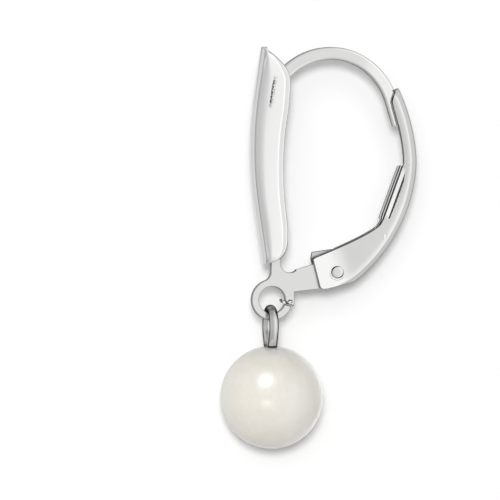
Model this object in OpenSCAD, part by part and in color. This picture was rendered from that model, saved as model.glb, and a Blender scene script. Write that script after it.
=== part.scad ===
// Leverback earring with a pearl drop, built as it hangs with its lever closed.
// +Z is up, the front bar faces -Y, the lever is on the +Y side, and X is the thickness.
// The origin is the crown of the ear wire's inner curve, where the pierced ear carries it.
// Side outlines are points [y, z], turned across X. Lengths are millimetres, angles degrees.

/* [Front bar] */
// Height of the front bar from its top to its foot
bar_height = 13.9; // [12:0.05:16]
// Width across the front face near the top
bar_top_width = 2.64; // [2.2:0.02:3.2]
// Width across the front face near the foot
bar_foot_width = 2.36; // [2:0.02:3]
// Depth of the side walls near the top
bar_depth = 2.15; // [1.8:0.05:2.4]
// Thickness of the sheet that the bar is formed from
bar_wall = 0.26; // [0.18:0.01:0.32]
// Rounding of the two long edges of the front face
bar_edge = 0.22; // [0.08:0.01:0.4]
// Swell of the front face between its long edges
bar_crown = 0.08; // [0:0.01:0.2]
// Width of the narrow rim that the back edges turn in
bar_rim = 0.24; // [0.1:0.01:0.4]
// Lean of the upper and lower halves away from the bend
bar_lean = 8.5; // [2:0.1:10]
// Radius of the bend between the halves
bar_bend_radius = 24; // [6:0.5:30]
// Distance of the bend's middle below the top of the bar
bar_bend_drop = 6.5; // [5:0.1:8.5]
// Corner radius of the face, top, on the plain side
top_corner_far = 1.0; // [0.4:0.05:1.1]
// Corner radius of the face, top, on the groove side
top_corner_near = 0.55; // [0.3:0.05:1]
// Corner radius of the face at the foot, on the plain side
foot_corner_far = 0.95; // [0.4:0.05:1.1]
// Corner radius of the face at the foot, on the groove side
foot_corner_near = 0.7; // [0.3:0.05:1]
// Slope of the side walls' top edge, down towards the back
top_slope = 43; // [35:1:50]
// Rounding of the side walls where the top edge meets the back edge
top_back_radius = 1.77; // [1:0.05:2]
// Rounding of the side walls between the back edge and the foot
foot_back_radius = 1.5; // [0.8:0.05:1.6]

/* [Groove] */
// Length of the pressed groove, from the top of the bar to its point
groove_length = 3.9; // [2:0.1:5.5]
// Width of the groove at the top
groove_width = 0.48; // [0.3:0.02:0.7]
// Depth of the groove at the top
groove_depth = 0.26; // [0.1:0.01:0.4]
// Offset of the groove's steep side from the middle of the face
groove_offset = 0.31; // [0:0.01:0.5]

/* [Ear wire] */
// Width of the ear wire, measured in the side view
wire_width = 0.8; // [0.7:0.01:0.9]
// Thickness of the ear wire, the lower plate and the drop ring
plate_thickness = 0.58; // [0.5:0.01:0.62]
// Chamfer along the edges of the ear wire
wire_chamfer = 0.09; // [0.02:0.01:0.15]
// Radius of the wire's middle line over the crown
crown_radius = 3.93; // [3.6:0.01:4.4]
// Turn from the crown forward to where the wire enters the bar
front_turn = 43; // [38:1:50]
// Turn from the crown backward to the wider curve
back_turn = 38.2; // [30:0.1:44]
// Radius of the middle line on the wider curve behind the ear
back_radius = 4.31; // [3.9:0.01:4.8]
// Turn of the wider curve
tip_turn = 35.1; // [30:0.1:40]
// Length of the straight tip that snaps into the lever
tip_length = 1.6; // [1.2:0.05:1.9]
// How far below the bar's top the wire enters its back
root_drop = 1.47; // [1.2:0.01:1.8]
// Depth from the bar's face to the wire's middle where it enters
root_depth = 1.92; // [1.6:0.01:2.1]

/* [Lower plate] */
// Width of the neck below the bar
neck_width = 0.62; // [0.5:0.01:0.8]
// Depth from the bar's face to the neck's middle, at the foot
neck_setback = 0.71; // [0.6:0.01:1]
// Length of the neck's tang inside the bar
neck_tang = 2.2; // [1:0.1:4]
// Radius of the hollows on both sides of the neck
neck_hollow = 0.585; // [0.4:0.01:0.65]
// Distance of the drop ring's middle below the foot of the bar
ring_drop = 2.13; // [2:0.01:2.4]
// Distance of the drop ring's middle in front of the neck's middle
ring_forward = 0.23; // [0.1:0.01:0.4]
// Diameter of the hole in the drop ring
ring_hole = 1.68; // [1.4:0.01:1.9]
// Width of the ring's metal around the hole
ring_band = 0.46; // [0.35:0.01:0.6]
// Width of the split where the ring was opened for the drop
ring_split = 0.12; // [0.05:0.01:0.2]
// Angle of the split below the horizontal, at the back of the ring
split_angle = 17; // [10:1:25]
// Distance of the rivet behind the ring's middle
arm_reach = 4.14; // [3.8:0.02:4.6]
// Height of the rivet above the ring's middle
arm_rise = 1.75; // [1.6:0.01:1.95]
// Height of the arm's top edge above the rivet
arm_above = 0.97; // [0.8:0.01:1.02]
// Depth of the arm's lower edge below the rivet
arm_below = 0.95; // [0.9:0.01:1.05]
// Slope of the arm's top edge, rising towards the back
arm_top_slope = 17.2; // [12:0.2:20]
// Slope of the arm's lower edge
arm_foot_slope = 6.2; // [4:0.2:9]
// Radius of the arm's round tail about the rivet
tail_radius = 0.7; // [0.55:0.01:0.7]

/* [Lever] */
// Width across the lever, the outside of its folded channel
lever_width = 1.24; // [1.2:0.01:1.4]
// Thickness of the lever's sheet
lever_wall = 0.2; // [0.12:0.01:0.21]
// Gap from the ear wire's outer edge to the lever's back, at the top
tip_gap = 0.33; // [0.32:0.01:0.45]
// Turn along the wider curve between the straight tip and the lever's top
tip_cover = 5.8; // [2:0.1:10]
// Distance from the rivet to the lower end of the lever's back
heel_distance = 1.31; // [1.28:0.01:1.45]
// Angle of that end below the horizontal
heel_angle = 27; // [22:1:32]
// Depth of the channel along its upper half
channel_depth = 0.91; // [0.75:0.01:1.05]
// Distance of the cheeks' front top corner ahead of the rivet
cheek_front = 1.58; // [1.3:0.01:1.8]
// Height of that corner above the rivet
cheek_rise = 0.82; // [0.75:0.01:1]
// Distance of the cheeks' front lower corner ahead of the rivet
cheek_toe = 1.07; // [0.95:0.01:1.3]
// Depth of that corner below the rivet
cheek_drop = 1.17; // [1.1:0.01:1.3]
// Rounding of the cheeks' corners
cheek_round = 0.16; // [0.05:0.01:0.3]
// Height of the far cheek's small front tab above the near cheek
tab_rise = 0.42; // [0.1:0.01:0.6]
// Largest turn of the lever as it opens
open_angle = 75; // [45:1:80]

/* [Rivet and spring] */
// Diameter of the rivet's shank
rivet_diameter = 0.54; // [0.4:0.01:0.7]
// Diameter of the rivet's flat heads
rivet_head = 0.8; // [0.7:0.01:1]
// Height of the rivet's heads
head_height = 0.05; // [0.02:0.01:0.1]
// Thickness of the leaf spring
spring_thickness = 0.1; // [0.06:0.01:0.12]
// Thickness of the spring's folded seat, across the waist
seat_thickness = 0.13; // [0.08:0.01:0.18]
// Width of the spring's tongue
tongue_width = 0.5; // [0.3:0.01:0.54]
// Width of the slits that part the waist's lips from the walls
slit_width = 0.09; // [0.05:0.01:0.12]
// Width of the lips outside those slits
lip_width = 0.24; // [0.18:0.01:0.28]

/* [Drop] */
// Diameter of the pearl
pearl_diameter = 6.5; // [5.5:0.1:8]
// Outside width of the eye loop
eye_width = 2.76; // [2.5:0.02:3.2]
// Height of the loop from the inside of its crown to the pearl
eye_height = 2.2; // [2.05:0.05:3]
// Diameter of the loop's wire
eye_wire = 0.46; // [0.36:0.01:0.5]
// Diameter of the wire's two ends, side by side in the pearl
stem_wire = 0.38; // [0.3:0.01:0.42]
// Length of the ends inside the pearl
stem_length = 2.6; // [1.5:0.1:3.5]
// Turn of the drop about its own stem
drop_turn = 3; // [0:0.5:6]

/* [Clearances] */
// Running clearance around the rivet, each side
rivet_clearance = 0.04; // [0.02:0.01:0.08]
// Clearance between parts that only touch
touch_clearance = 0.02; // [0.01:0.01:0.04]
// Clearance of parts that swing past each other
swing_clearance = 0.03; // [0.02:0.01:0.06]

/* [Hidden] */
$fn = 64;
eps = 0.01;

gold = [0.86, 0.87, 0.88];
bright_gold = [0.92, 0.93, 0.94];
steel = [0.66, 0.68, 0.7];
cream = [0.95, 0.94, 0.9];

// Plain helpers for points and outlines
function unit(v) = v / norm(v);
function polar(r, a) = r * [cos(a), sin(a)];
function mix(a, b, t) = a + (b - a) * t;
function turned(v, a) = [v.x * cos(a) - v.y * sin(a), v.x * sin(a) + v.y * cos(a)];
function cross2(a, b) = a.x * b.y - a.y * b.x;
function arc(c, r, a0, a1, n) = [for (i = [0:n]) c + polar(r, mix(a0, a1, i / n))];
function curve(a, c, b, n) =
  [for (i = [0:n]) let (t = i / n) a * (1 - t) * (1 - t) + c * 2 * t * (1 - t) + b * t * t];
function meet(p, u, q, v) = p + u * cross2(q - p, v) / cross2(u, v);
function table(rows, x, col, i = 0) =
  i >= len(rows) - 2 || x <= rows[i + 1][0]
    ? mix(rows[i][col], rows[i + 1][col], (x - rows[i][0]) / (rows[i + 1][0] - rows[i][0]))
    : table(rows, x, col, i + 1);

// A polygon's corner [y, z, r] becomes an arc of radius r
function round_corner(a, p, b, n) =
  p[2] == 0
    ? [[p.x, p.y]]
    : let (
        q = [p.x, p.y],
        u = unit([a.x, a.y] - q),
        v = unit([b.x, b.y] - q),
        half = acos(u * v) / 2,
        c = q + unit(u + v) * p[2] / sin(half),
        s = q + u * p[2] / tan(half) - c,
        side = cross2(u, v) > 0 ? -1 : 1
      )
      [for (i = [0:n]) c + turned(s, side * (180 - 2 * half) * i / n)];
function rounded(rows, n = 4) =
  let (m = len(rows))
  [for (i = [0:m - 1]) each round_corner(rows[(i + m - 1) % m], rows[i], rows[(i + 1) % m], n)];

// Side outlines lie in the YZ plane and front outlines in the XZ plane
module across(width, from = undef)
  translate([from == undef ? -width / 2 : from, 0, 0]) rotate([90, 0, 90]) linear_extrude(width) children();
module frontward(depth, from) translate([0, from + depth, 0]) rotate([90, 0, 0]) linear_extrude(depth) children();
module pin(centre, diameter, length)
  translate([-length / 2, centre.x, centre.y]) rotate([0, 90, 0]) cylinder(h = length, d = diameter);

// A solid skin over rings that all have the same number of points
module loft(rings) {
  n = len(rings[0]);
  m = len(rings);
  sides = [
    for (j = [0:m - 2], i = [0:n - 1])
      let (a = j * n + i, b = j * n + (i + 1) % n)
      each [[a, b, b + n], [a, b + n, a + n]]
  ];
  ends = [[for (i = [n - 1:-1:0]) i], [for (i = [0:n - 1]) (m - 1) * n + i]];
  polyhedron([for (r = rings) each r], concat(sides, ends), convexity = 8);
}

// The same for a folded sheet: each ring is a row of outer points and the inner row back again
module loft_fold(rings) {
  n = len(rings[0]);
  m = len(rings);
  sides = [
    for (j = [0:m - 2], i = [0:n - 1])
      let (a = j * n + i, b = j * n + (i + 1) % n)
      each [[a, b, b + n], [a, b + n, a + n]]
  ];
  ends = [
    for (i = [0:n / 2 - 2])
      let (a = i, b = i + 1, c = n - 2 - i, d = n - 1 - i, e = (m - 1) * n)
      each [[d, c, b, a], [a + e, b + e, c + e, d + e]]
  ];
  polyhedron([for (r = rings) each r], concat(sides, ends), convexity = 8);
}

// Ear wire: three stretches of one middle line, from the bar over the ear to the tip
crown_centre = [0, wire_width / 2 - crown_radius];
back_start = 90 - back_turn;
back_centre = crown_centre + polar(crown_radius - back_radius, back_start);
tip_start_angle = back_start - tip_turn;
tip_start = back_centre + polar(back_radius, tip_start_angle);
tip_heading = tip_start_angle - 90;
tip_end = tip_start + polar(tip_length, tip_heading);
root = crown_centre + polar(crown_radius, 90 + front_turn);

// Front bar: its face line in the side view, by the distance h below the top
bar_top = root.y + root_drop;
bar_foot = bar_top - bar_height;
bend_half = bar_bend_radius * sin(bar_lean);
function bow(h) =
  let (d = abs(h - bar_bend_drop))
  d < bend_half
    ? bar_bend_radius - sqrt(bar_bend_radius * bar_bend_radius - d * d)
    : bar_bend_radius * (1 - cos(bar_lean)) + (d - bend_half) * tan(bar_lean);
face_at_bend = root.x - root_depth - bow(root_drop);
function face(h) = face_at_bend + bow(h);
function bar_width_at(h) = mix(bar_top_width, bar_foot_width, h / bar_height);

// Depth of the side walls: share of the height below the top, share of bar_depth
depth_rows = [[0, 0.95], [0.17, 0.955], [0.24, 0.995], [0.3, 1], [0.38, 0.958], [0.46, 0.93],
  [0.58, 0.888], [0.74, 0.84], [0.86, 0.823], [1, 0.8]];
function wall_depth(h) = bar_depth * table(depth_rows, h / bar_height, 1);

// One level section of the bar, inset from its outer skin; the back is left long for trimming
function bar_section(h, inset, back) =
  let (
    w = bar_width_at(h) / 2 - inset,
    r = max(bar_edge - inset, 0.04),
    y = face(h) + inset,
    flat = w - r,
    turn = atan(2 * bar_crown / flat),
    n = 5,
    half = concat(
      [for (i = [0:n]) let (x = flat * i / n) [x, y + bar_crown * pow(x / flat, 2)]],
      [for (i = [1:4]) [flat, y + bar_crown + r] + polar(r, mix(-90 + turn, 0, i / 4))],
      [[w, face(h) + back]]
    ),
    m = len(half)
  )
  [for (p = concat([for (i = [m - 1:-1:1]) [-half[i].x, half[i].y]], half)) [p.x, p.y, bar_top - h]];

bar_steps = concat(
  [-0.5],
  [for (i = [0:3]) mix(0, bar_bend_drop - bend_half, i / 3)],
  [for (i = [1:5]) bar_bend_drop - bend_half + 2 * bend_half * i / 5],
  [for (i = [1:3]) mix(bar_bend_drop + bend_half, bar_height, i / 3)],
  [bar_height + 0.5]
);
module bar_skin(inset, back)
  loft([for (h = bar_steps) bar_section(h, inset, back)]);

// Outline of the bar in the front view
module bar_front(inset) {
  w_top = bar_width_at(0) / 2 - inset;
  w_foot = bar_width_at(bar_height) / 2 - inset;
  top = bar_top - inset;
  foot = bar_foot + inset;
  polygon(rounded([
    [-w_top, top, top_corner_far - inset],
    [-w_foot, foot, foot_corner_far - inset],
    [w_foot, foot, foot_corner_near - inset],
    [w_top, top, top_corner_near - inset]
  ], 8));
}

// Outline of the bar in the side view, inset from its edges; the front is cut by the skin
module bar_side(inset) {
  ahead = face_at_bend - 1;
  backs = [for (h = [2.4:0.9:bar_height - 2.2]) [face(h) + wall_depth(h) - inset, bar_top - h]];
  upper = backs[0];
  lower = backs[len(backs) - 1];
  shoulder = [face(0) + 0.06, bar_top - inset / cos(top_slope)];
  top_meet = meet(shoulder, polar(1, -top_slope), upper, [0, 1]);
  foot_start = [face(bar_height) + 0.2 - inset * 0.54, bar_foot + 0.12 + inset * 0.87];
  foot_turn = foot_start + polar(0.62, 19);
  foot_meet = meet(foot_turn, polar(1, 45), lower, [0, 1]);
  polygon(rounded(concat(
    [[ahead, bar_foot + inset * 0.8, 0], [foot_start.x - 0.15, bar_foot + inset * 0.8, 0], [foot_start.x, foot_start.y, 0]],
    [[foot_turn.x, foot_turn.y, 0.15], [foot_meet.x, foot_meet.y, foot_back_radius - inset]],
    [for (i = [len(backs) - 1:-1:0]) [backs[i].x, backs[i].y, 0]],
    [[top_meet.x, top_meet.y, top_back_radius - inset], [shoulder.x, shoulder.y, 0], [ahead, shoulder.y, 0]]
  ), 8));
}

// The pressed groove: a V cut that rises out of the face as it runs down
module groove(extra) {
  depth = groove_depth + extra;
  wide = groove_width * depth / groove_depth;
  steep = 0.3;
  run = groove_length * depth / groove_depth;
  rings = [
    for (t = [-0.12, 1])
      let (
        h = t * run,
        d = depth * (1 - t),
        y = face(h) - eps,
        x = groove_offset + (wide - groove_width) / 2
      )
      [[x - wide * (1 - t) - 0.002, y - 0.4, bar_top - h],
       [x + 0.02, y - 0.4, bar_top - h],
       [x + 0.02, y, bar_top - h],
       [x - wide * steep * (1 - t), y + d + 0.002, bar_top - h],
       [x - wide * (1 - t) - 0.002, y, bar_top - h]]
  ];
  loft(rings);
}

module front_bar() {
  reach = bar_depth + 2;
  difference() {
    intersection() {
      bar_skin(0, reach);
      frontward(2 * reach, face_at_bend - 1) bar_front(0);
      across(2 * bar_top_width) bar_side(0);
    }
    // The hollow inside, with the groove's ridge left standing in it
    difference() {
      intersection() {
        bar_skin(bar_wall, reach);
        frontward(2 * reach, face_at_bend - 1) bar_front(bar_wall);
        across(2 * bar_top_width) bar_side(bar_wall);
      }
      groove(bar_wall * 0.8);
    }
    // The open back, inside the turned rim
    intersection() {
      bar_skin(bar_wall + bar_rim, reach);
      frontward(2 * reach, face_at_bend - 1) bar_front(bar_wall + bar_rim);
      across(2 * bar_top_width) polygon([
        [face(0.6) + 0.42, bar_top - 0.6],
        [face(bar_height) + 0.5, bar_foot + 0.9],
        [face(bar_height) + reach, bar_foot + 0.9],
        [face(0.6) + reach, bar_top - 0.6]
      ]);
    }
    groove(0);
  }
}

// Section of the ear wire: a bar with chamfered edges, [outward, across]
function wire_section(w) =
  let (a = w / 2, b = plate_thickness / 2, c = wire_chamfer)
  [[-a, b - c], [-a + c, b], [a - c, b], [a, b - c], [a, -b + c], [a - c, -b], [-a + c, -b], [-a, -b + c]];
function wire_ring(p, outward, w) = [for (q = wire_section(w)) let (s = p + outward * q.x) [q.y, s.x, s.y]];

module ear_wire() {
  root_turn = front_turn + 8;
  entry = crown_centre + polar(crown_radius, 90 + root_turn);
  entry_heading = 180 + root_turn;
  inside_face = face(bar_top - entry.y) + bar_wall;
  stub = (entry.x - inside_face + bar_wall / 2) / -cos(entry_heading);
  loft(concat(
    [wire_ring(entry + polar(stub, entry_heading), polar(1, 90 + root_turn), wire_width)],
    [for (a = [root_turn:-3:-back_turn]) wire_ring(crown_centre + polar(crown_radius, 90 + a), polar(1, 90 + a), wire_width)],
    [for (i = [1:12]) let (a = mix(back_start, tip_start_angle, i / 12))
      wire_ring(back_centre + polar(back_radius, a), polar(1, a), wire_width)],
    [wire_ring(tip_end - polar(0.1, tip_heading), polar(1, tip_start_angle), wire_width - 0.04)],
    [wire_ring(tip_end, polar(1, tip_start_angle), wire_width - 0.22)]
  ));
}

// Lower plate: neck, drop ring and arm, all from one sheet
neck_middle = face(bar_height) + neck_setback;
ring_middle = [neck_middle - ring_forward, bar_foot - ring_drop];
pivot = ring_middle + [arm_reach, arm_rise];
ring_outer = ring_hole / 2 + ring_band;
arm_top_way = polar(1, arm_top_slope);
arm_foot_way = polar(1, arm_foot_slope);
function arm_top(y) = pivot.y + arm_above + (y - pivot.x) * tan(arm_top_slope);
function arm_foot(y) = pivot.y - arm_below + (y - pivot.x) * tan(arm_foot_slope);

// The lever's back, in the side view: radius as a share of its span, and turn
back_rows = [[0.978, 18], [0.574, 16], [0.813, 43.7]];
function chain(rows, i = 0, p = [0, 0], a = 0) =
  i == len(rows) ? [] :
  let (r = rows[i][0], c = p - polar(r, a), b = a - rows[i][1])
  concat([[c, r, a, b, r * rows[i][1]]], chain(rows, i + 1, c + polar(r, b), b));
plain_chain = chain(back_rows);
plain_end = let (c = plain_chain[len(plain_chain) - 1]) c[0] + polar(c[1], c[3]);
lever_top = back_centre + polar(back_radius + wire_width / 2 + tip_gap, tip_start_angle + tip_cover);
heel = pivot + polar(heel_distance, -heel_angle);
back_span = heel - lever_top;
back_scale = norm(back_span) / norm(plain_end);
back_tilt = atan2(cross2(plain_end, back_span), plain_end * back_span);
function placed(p) = lever_top + back_scale * turned(p, back_tilt);
chain_length = plain_chain[0][4] + plain_chain[1][4] + plain_chain[2][4];

// The point at share s along the back and depth d inside it, and the outward direction there
function piece_at(s) =
  let (t = s * chain_length, a = plain_chain[0][4], b = a + plain_chain[1][4])
  t <= a ? [0, t / plain_chain[0][4]] : t <= b ? [1, (t - a) / plain_chain[1][4]] : [2, (t - b) / plain_chain[2][4]];
function back_way(s) =
  let (k = piece_at(s), c = plain_chain[k[0]])
  polar(1, mix(c[2], c[3], k[1]) + back_tilt);
function back_at(s, d) =
  let (k = piece_at(s), c = plain_chain[k[0]], a = mix(c[2], c[3], k[1]))
  placed(c[0] + polar(c[1], a)) - d * polar(1, a + back_tilt);
heel_out = back_way(1);
heel_way = turned(heel_out, -90);

// The cheeks' lower edge runs from the heel to the toe, and ends the back of the channel
toe = pivot + [-cheek_toe, -cheek_drop];
sole_way = unit(toe - heel);
slot_radius = norm(heel - pivot) - 0.33;
sole_reach = let (b = (heel - pivot) * sole_way, c = norm(heel - pivot))
  -b - sqrt(b * b - (c * c - slot_radius * slot_radius));
web_end = heel + sole_way * sole_reach - pivot;
web_end_angle = atan2(web_end.y, web_end.x);

// Arm: its lower edge stops short of where the lever's back swings to
shoulder_angle = web_end_angle - open_angle - 5;
shoulder = pivot + polar(1, shoulder_angle) *
  (arm_below / -sin(shoulder_angle) / (1 - tan(arm_foot_slope) / tan(shoulder_angle)));

module lower_plate() {
  neck_front = neck_middle - neck_width / 2;
  neck_back = neck_middle + neck_width / 2;
  tang_top = bar_foot + neck_tang;
  lug = ring_middle.x + ring_outer + 0.12;
  left_hollow = [neck_front - neck_hollow, 0];
  left_rise = sqrt(pow(ring_outer + neck_hollow, 2) - pow(left_hollow.x - ring_middle.x, 2));
  right_hollow = [neck_back + neck_hollow, arm_top(neck_back + neck_hollow) + neck_hollow * 0.9];
  tail_top = pivot + polar(tail_radius, 40);
  difference() {
    union() {
      across(plate_thickness) difference() {
        union() {
          translate(ring_middle) circle(r = ring_outer);
          translate(pivot) circle(r = tail_radius);
          polygon([
            [neck_front, tang_top],
            [neck_front, ring_middle.y + ring_hole / 2],
            [ring_middle.x, ring_middle.y],
            [lug - 0.05, ring_middle.y - 0.05],
            [lug, arm_foot(lug)],
            shoulder,
            pivot + polar(tail_radius * 0.9, shoulder_angle),
            pivot,
            tail_top,
            [pivot.x - 0.2, arm_top(pivot.x - 0.2)],
            [right_hollow.x + 0.34, arm_top(right_hollow.x + 0.34)],
            [right_hollow.x, arm_top(right_hollow.x)],
            [neck_back, right_hollow.y],
            [neck_back, tang_top]
          ]);
          polygon([
            [ring_middle.x, ring_middle.y],
            [neck_front + 0.2, ring_middle.y + ring_hole / 3],
            [neck_front + 0.1, ring_middle.y + left_rise],
            [neck_front - neck_hollow * 0.6, ring_middle.y + left_rise - neck_hollow * 0.6],
            [ring_middle.x - ring_outer * 0.7, ring_middle.y + ring_outer * 0.7]
          ]);
        }
        translate(right_hollow) circle(r = neck_hollow);
        translate([left_hollow.x, ring_middle.y + left_rise]) circle(r = neck_hollow);
      }
    }
    pin(ring_middle, ring_hole, 2);
    pin(pivot, rivet_diameter + 2 * rivet_clearance, 2);
    translate([0, ring_middle.x, ring_middle.y]) rotate([-split_angle, 0, 0])
      translate([-1, ring_hole * 0.3, -ring_split / 2]) cube([2, ring_outer, ring_split]);
  }
}

module frame() color(gold) {
  front_bar();
  ear_wire();
  lower_plate();
}

// Lever: the folded back
inner_half = lever_width / 2 - lever_wall;
half = lever_width / 2;
lap = 0.08;
function channel_section(n = 12) = concat(
  [[half + lap, -half]],
  [for (i = [0:n]) let (a = mix(-90, 90, i / n)) [half - half * cos(a), half * sin(a)]],
  [[half + lap, half], [half + lap, inner_half]],
  [for (i = [n:-1:0]) let (a = mix(-90, 90, i / n)) [half - inner_half * cos(a), inner_half * sin(a)]],
  [[half + lap, -inner_half]]
);
function channel_ring(p, out) = [for (q = channel_section()) let (s = p - out * q.x) [q.y, s.x, s.y]];

module lever_back() {
  steps = 24;
  run = 2 * lever_width;
  difference() {
    loft_fold(concat(
      [channel_ring(heel + heel_way * run, heel_out)],
      [for (i = [steps:-1:0]) channel_ring(back_at(i / steps, 0), back_way(i / steps))]
    ));
    // The oblique lower end, along the cheeks' lower edge
    across(2 * lever_width) polygon([
      heel - sole_way * 0.001,
      heel + sole_way * 4,
      heel + sole_way * 4 + heel_out * 3,
      heel + heel_out * 3
    ]);
    // Room for the arm to swing between the cheeks
    pin(pivot, 2 * slot_radius, 2 * inner_half);
  }
}

// Inner edge of the walls above the waist: share of the back's length, share of channel_depth
edge_rows = [[0, 0.3], [0.012, 0.6], [0.04, 0.88], [0.074, 0.955], [0.126, 0.985], [0.25, 1], [0.358, 1]];
waist_top = back_at(0.371, channel_depth * 1.063);
waist_foot = back_at(0.672, channel_depth * 1.35);
waist_way = unit(waist_foot - waist_top);
waist_out = turned(waist_way, -90);
throat_back = back_at(0.702, channel_depth * 1.347);
cheek_corner = pivot + [-cheek_front, cheek_rise];
throat_front = cheek_corner + [0.22, 0.1];
throat_bend = meet(throat_front, polar(1, 18), throat_back, polar(1, 36));

module wall_outline() {
  flat = half + lap / 2;
  inner = concat(
    [for (r = edge_rows) back_at(r[0], channel_depth * r[1])],
    [waist_top, waist_foot],
    [for (p = [throat_back]) p],
    [for (i = [1:9]) curve(throat_back, throat_bend, throat_front, 10)[i]]
  );
  flat_end = meet(heel - heel_out * flat, heel_way, heel, sole_way);
  lower = rounded([
    [flat_end.x, flat_end.y, 0],
    [throat_front.x, throat_front.y, 0],
    [cheek_corner.x, cheek_corner.y, cheek_round * 0.6],
    [toe.x, toe.y, cheek_round]
  ]);
  front = [for (i = [len(lower) - 1:-1:1]) lower[i]];
  outer = [for (i = [24:-1:0]) back_at(i / 24, min(flat, channel_depth * table(edge_rows, i / 24, 1)))];
  polygon(concat(inner, [for (i = [1:len(lower) - 1]) lower[i]], [flat_end], outer));
}

module far_tab() {
  crest = cheek_corner + [0.07, tab_rise + 0.04];
  polygon([crest, crest + [1.4, 0.17], throat_front + [1.3, 0.2], cheek_corner + [0.1, -0.1], cheek_corner + [0.02, 0]]);
}

module lever() color(bright_gold) difference() {
  union() {
    lever_back();
    across(lever_wall, inner_half) wall_outline();
    across(lever_wall, -half) wall_outline();
    across(lever_wall, -half) far_tab();
  }
  pin(pivot, rivet_diameter + 2 * touch_clearance, 3);
  // Slits beside the lips at the waist
  across(3) {
    from = waist_top + waist_way * 0.1 - waist_out * lip_width;
    to = waist_foot - waist_way * 0.1 - waist_out * lip_width;
    polygon([from, to, to - waist_out * slit_width, from - waist_out * slit_width]);
  }
}

// Rivet: a shank through both cheeks with a low head on each
module rivet() color(bright_gold) {
  pin(pivot, rivet_diameter, lever_width + 2 * touch_clearance + 2 * head_height);
  for (side = [-1, 1])
    translate([side * (half + touch_clearance + head_height / 2), 0, 0]) pin(pivot, rivet_head, head_height);
}

// Leaf spring: a folded seat over the waist, and a tongue that bears on the arm's tail
module leaf_spring() color(steel) {
  low = waist_out * touch_clearance;
  high = waist_out * (touch_clearance + seat_thickness);
  across(lever_width) polygon(rounded([
    [(waist_top + low).x, (waist_top + low).y, 0],
    [(waist_foot + low).x, (waist_foot + low).y, 0],
    [(waist_foot + high).x, (waist_foot + high).y, seat_thickness / 3],
    [(waist_top + high).x, (waist_top + high).y, seat_thickness * 0.8]
  ]));
  across(2 * (inner_half - touch_clearance)) polygon([
    waist_top + waist_way * 0.25 + low * 2,
    waist_foot - waist_way * 0.2 + low * 2,
    waist_foot - waist_way * 0.2 - waist_out * lip_width,
    waist_top + waist_way * 0.25 - waist_out * lip_width
  ]);
  start = waist_foot - waist_way * 0.4 + low;
  bearing = tail_radius + swing_clearance;
  away = norm(start - pivot);
  lie = atan2((start - pivot).y, (start - pivot).x);
  touch_angle = lie - acos(bearing / away);
  touch = pivot + polar(bearing, touch_angle);
  skin = polar(spring_thickness, touch_angle);
  across(tongue_width) polygon([start, touch, touch + skin, start + skin]);
}

// Drop: the eye loop's wire runs from inside the pearl, round the ring, and back beside itself
eye_half = (eye_width - eye_wire) / 2;
eye_inner = eye_half - eye_wire / 2;
eye_sag = eye_inner - sqrt(eye_inner * eye_inner - pow(plate_thickness / 2 + touch_clearance, 2));
hang = [ring_middle.x, ring_middle.y - ring_hole / 2 + eye_wire / 2 + eye_sag + touch_clearance];
pearl_top = hang.y - eye_wire / 2 - eye_height;
pearl_middle = pearl_top - pearl_diameter / 2 + 0.05;
stem_gap = stem_wire / 2 + 0.012;
eye_middle = hang.y - eye_half;

// Half of the loop's middle line [x, z, wire radius], from the crown down to the pearl
eye_side = concat(
  [for (i = [0:12]) let (a = mix(90, -24, i / 12)) concat([0, eye_middle] + polar(eye_half, a), [eye_wire / 2])],
  let (
    p = [0, eye_middle] + polar(eye_half, -24),
    q = [stem_gap, pearl_top + 0.28],
    c = meet(p, polar(1, -114), q, [0, 1])
  )
  [for (i = [1:7]) let (t = i / 7) concat(curve(p, p + (c - p) * 0.93, q, 7)[i], [mix(eye_wire, stem_wire, t) / 2])],
  [[stem_gap, pearl_top - stem_length, stem_wire / 2]]
);
eye_line = concat(
  [for (i = [len(eye_side) - 1:-1:1]) [-eye_side[i].x, eye_side[i].y, eye_side[i][2]]],
  eye_side
);
function eye_heading(i) =
  let (m = len(eye_line), a = eye_line[max(i - 1, 0)], b = eye_line[min(i + 1, m - 1)])
  unit([b.x - a.x, b.y - a.y]);
wire_sides = 14;

module eye_loop() color(steel) translate([0, hang.x, 0]) rotate([0, 0, drop_turn]) loft([
  for (i = [0:len(eye_line) - 1])
    let (p = eye_line[i], w = eye_heading(i), side = [-w.y, w.x])
    [for (k = [0:wire_sides - 1])
      let (c = polar(p[2], 360 * k / wire_sides))
      [p.x + side.x * c.x, c.y, p.y + side.y * c.x]]
]);

module pearl() color(cream) difference() {
  translate([0, hang.x, pearl_middle]) sphere(d = pearl_diameter, $fn = 96);
  translate([0, hang.x, pearl_top - stem_length - 0.1])
    cylinder(h = stem_length + 1, r = stem_gap + stem_wire / 2 + touch_clearance);
}

frame();
lever();
rivet();
leaf_spring();
eye_loop();
pearl();
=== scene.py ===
"""A leverback earring with a pearl drop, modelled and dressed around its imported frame."""

from __future__ import annotations

import logging
import math
from abc import ABC, abstractmethod
from dataclasses import dataclass, field
from enum import Enum
from typing import Callable, Iterable, Optional, Sequence, Union

import bmesh
import bpy
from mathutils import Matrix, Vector
from mathutils.geometry import delaunay_2d_cdt

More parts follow.
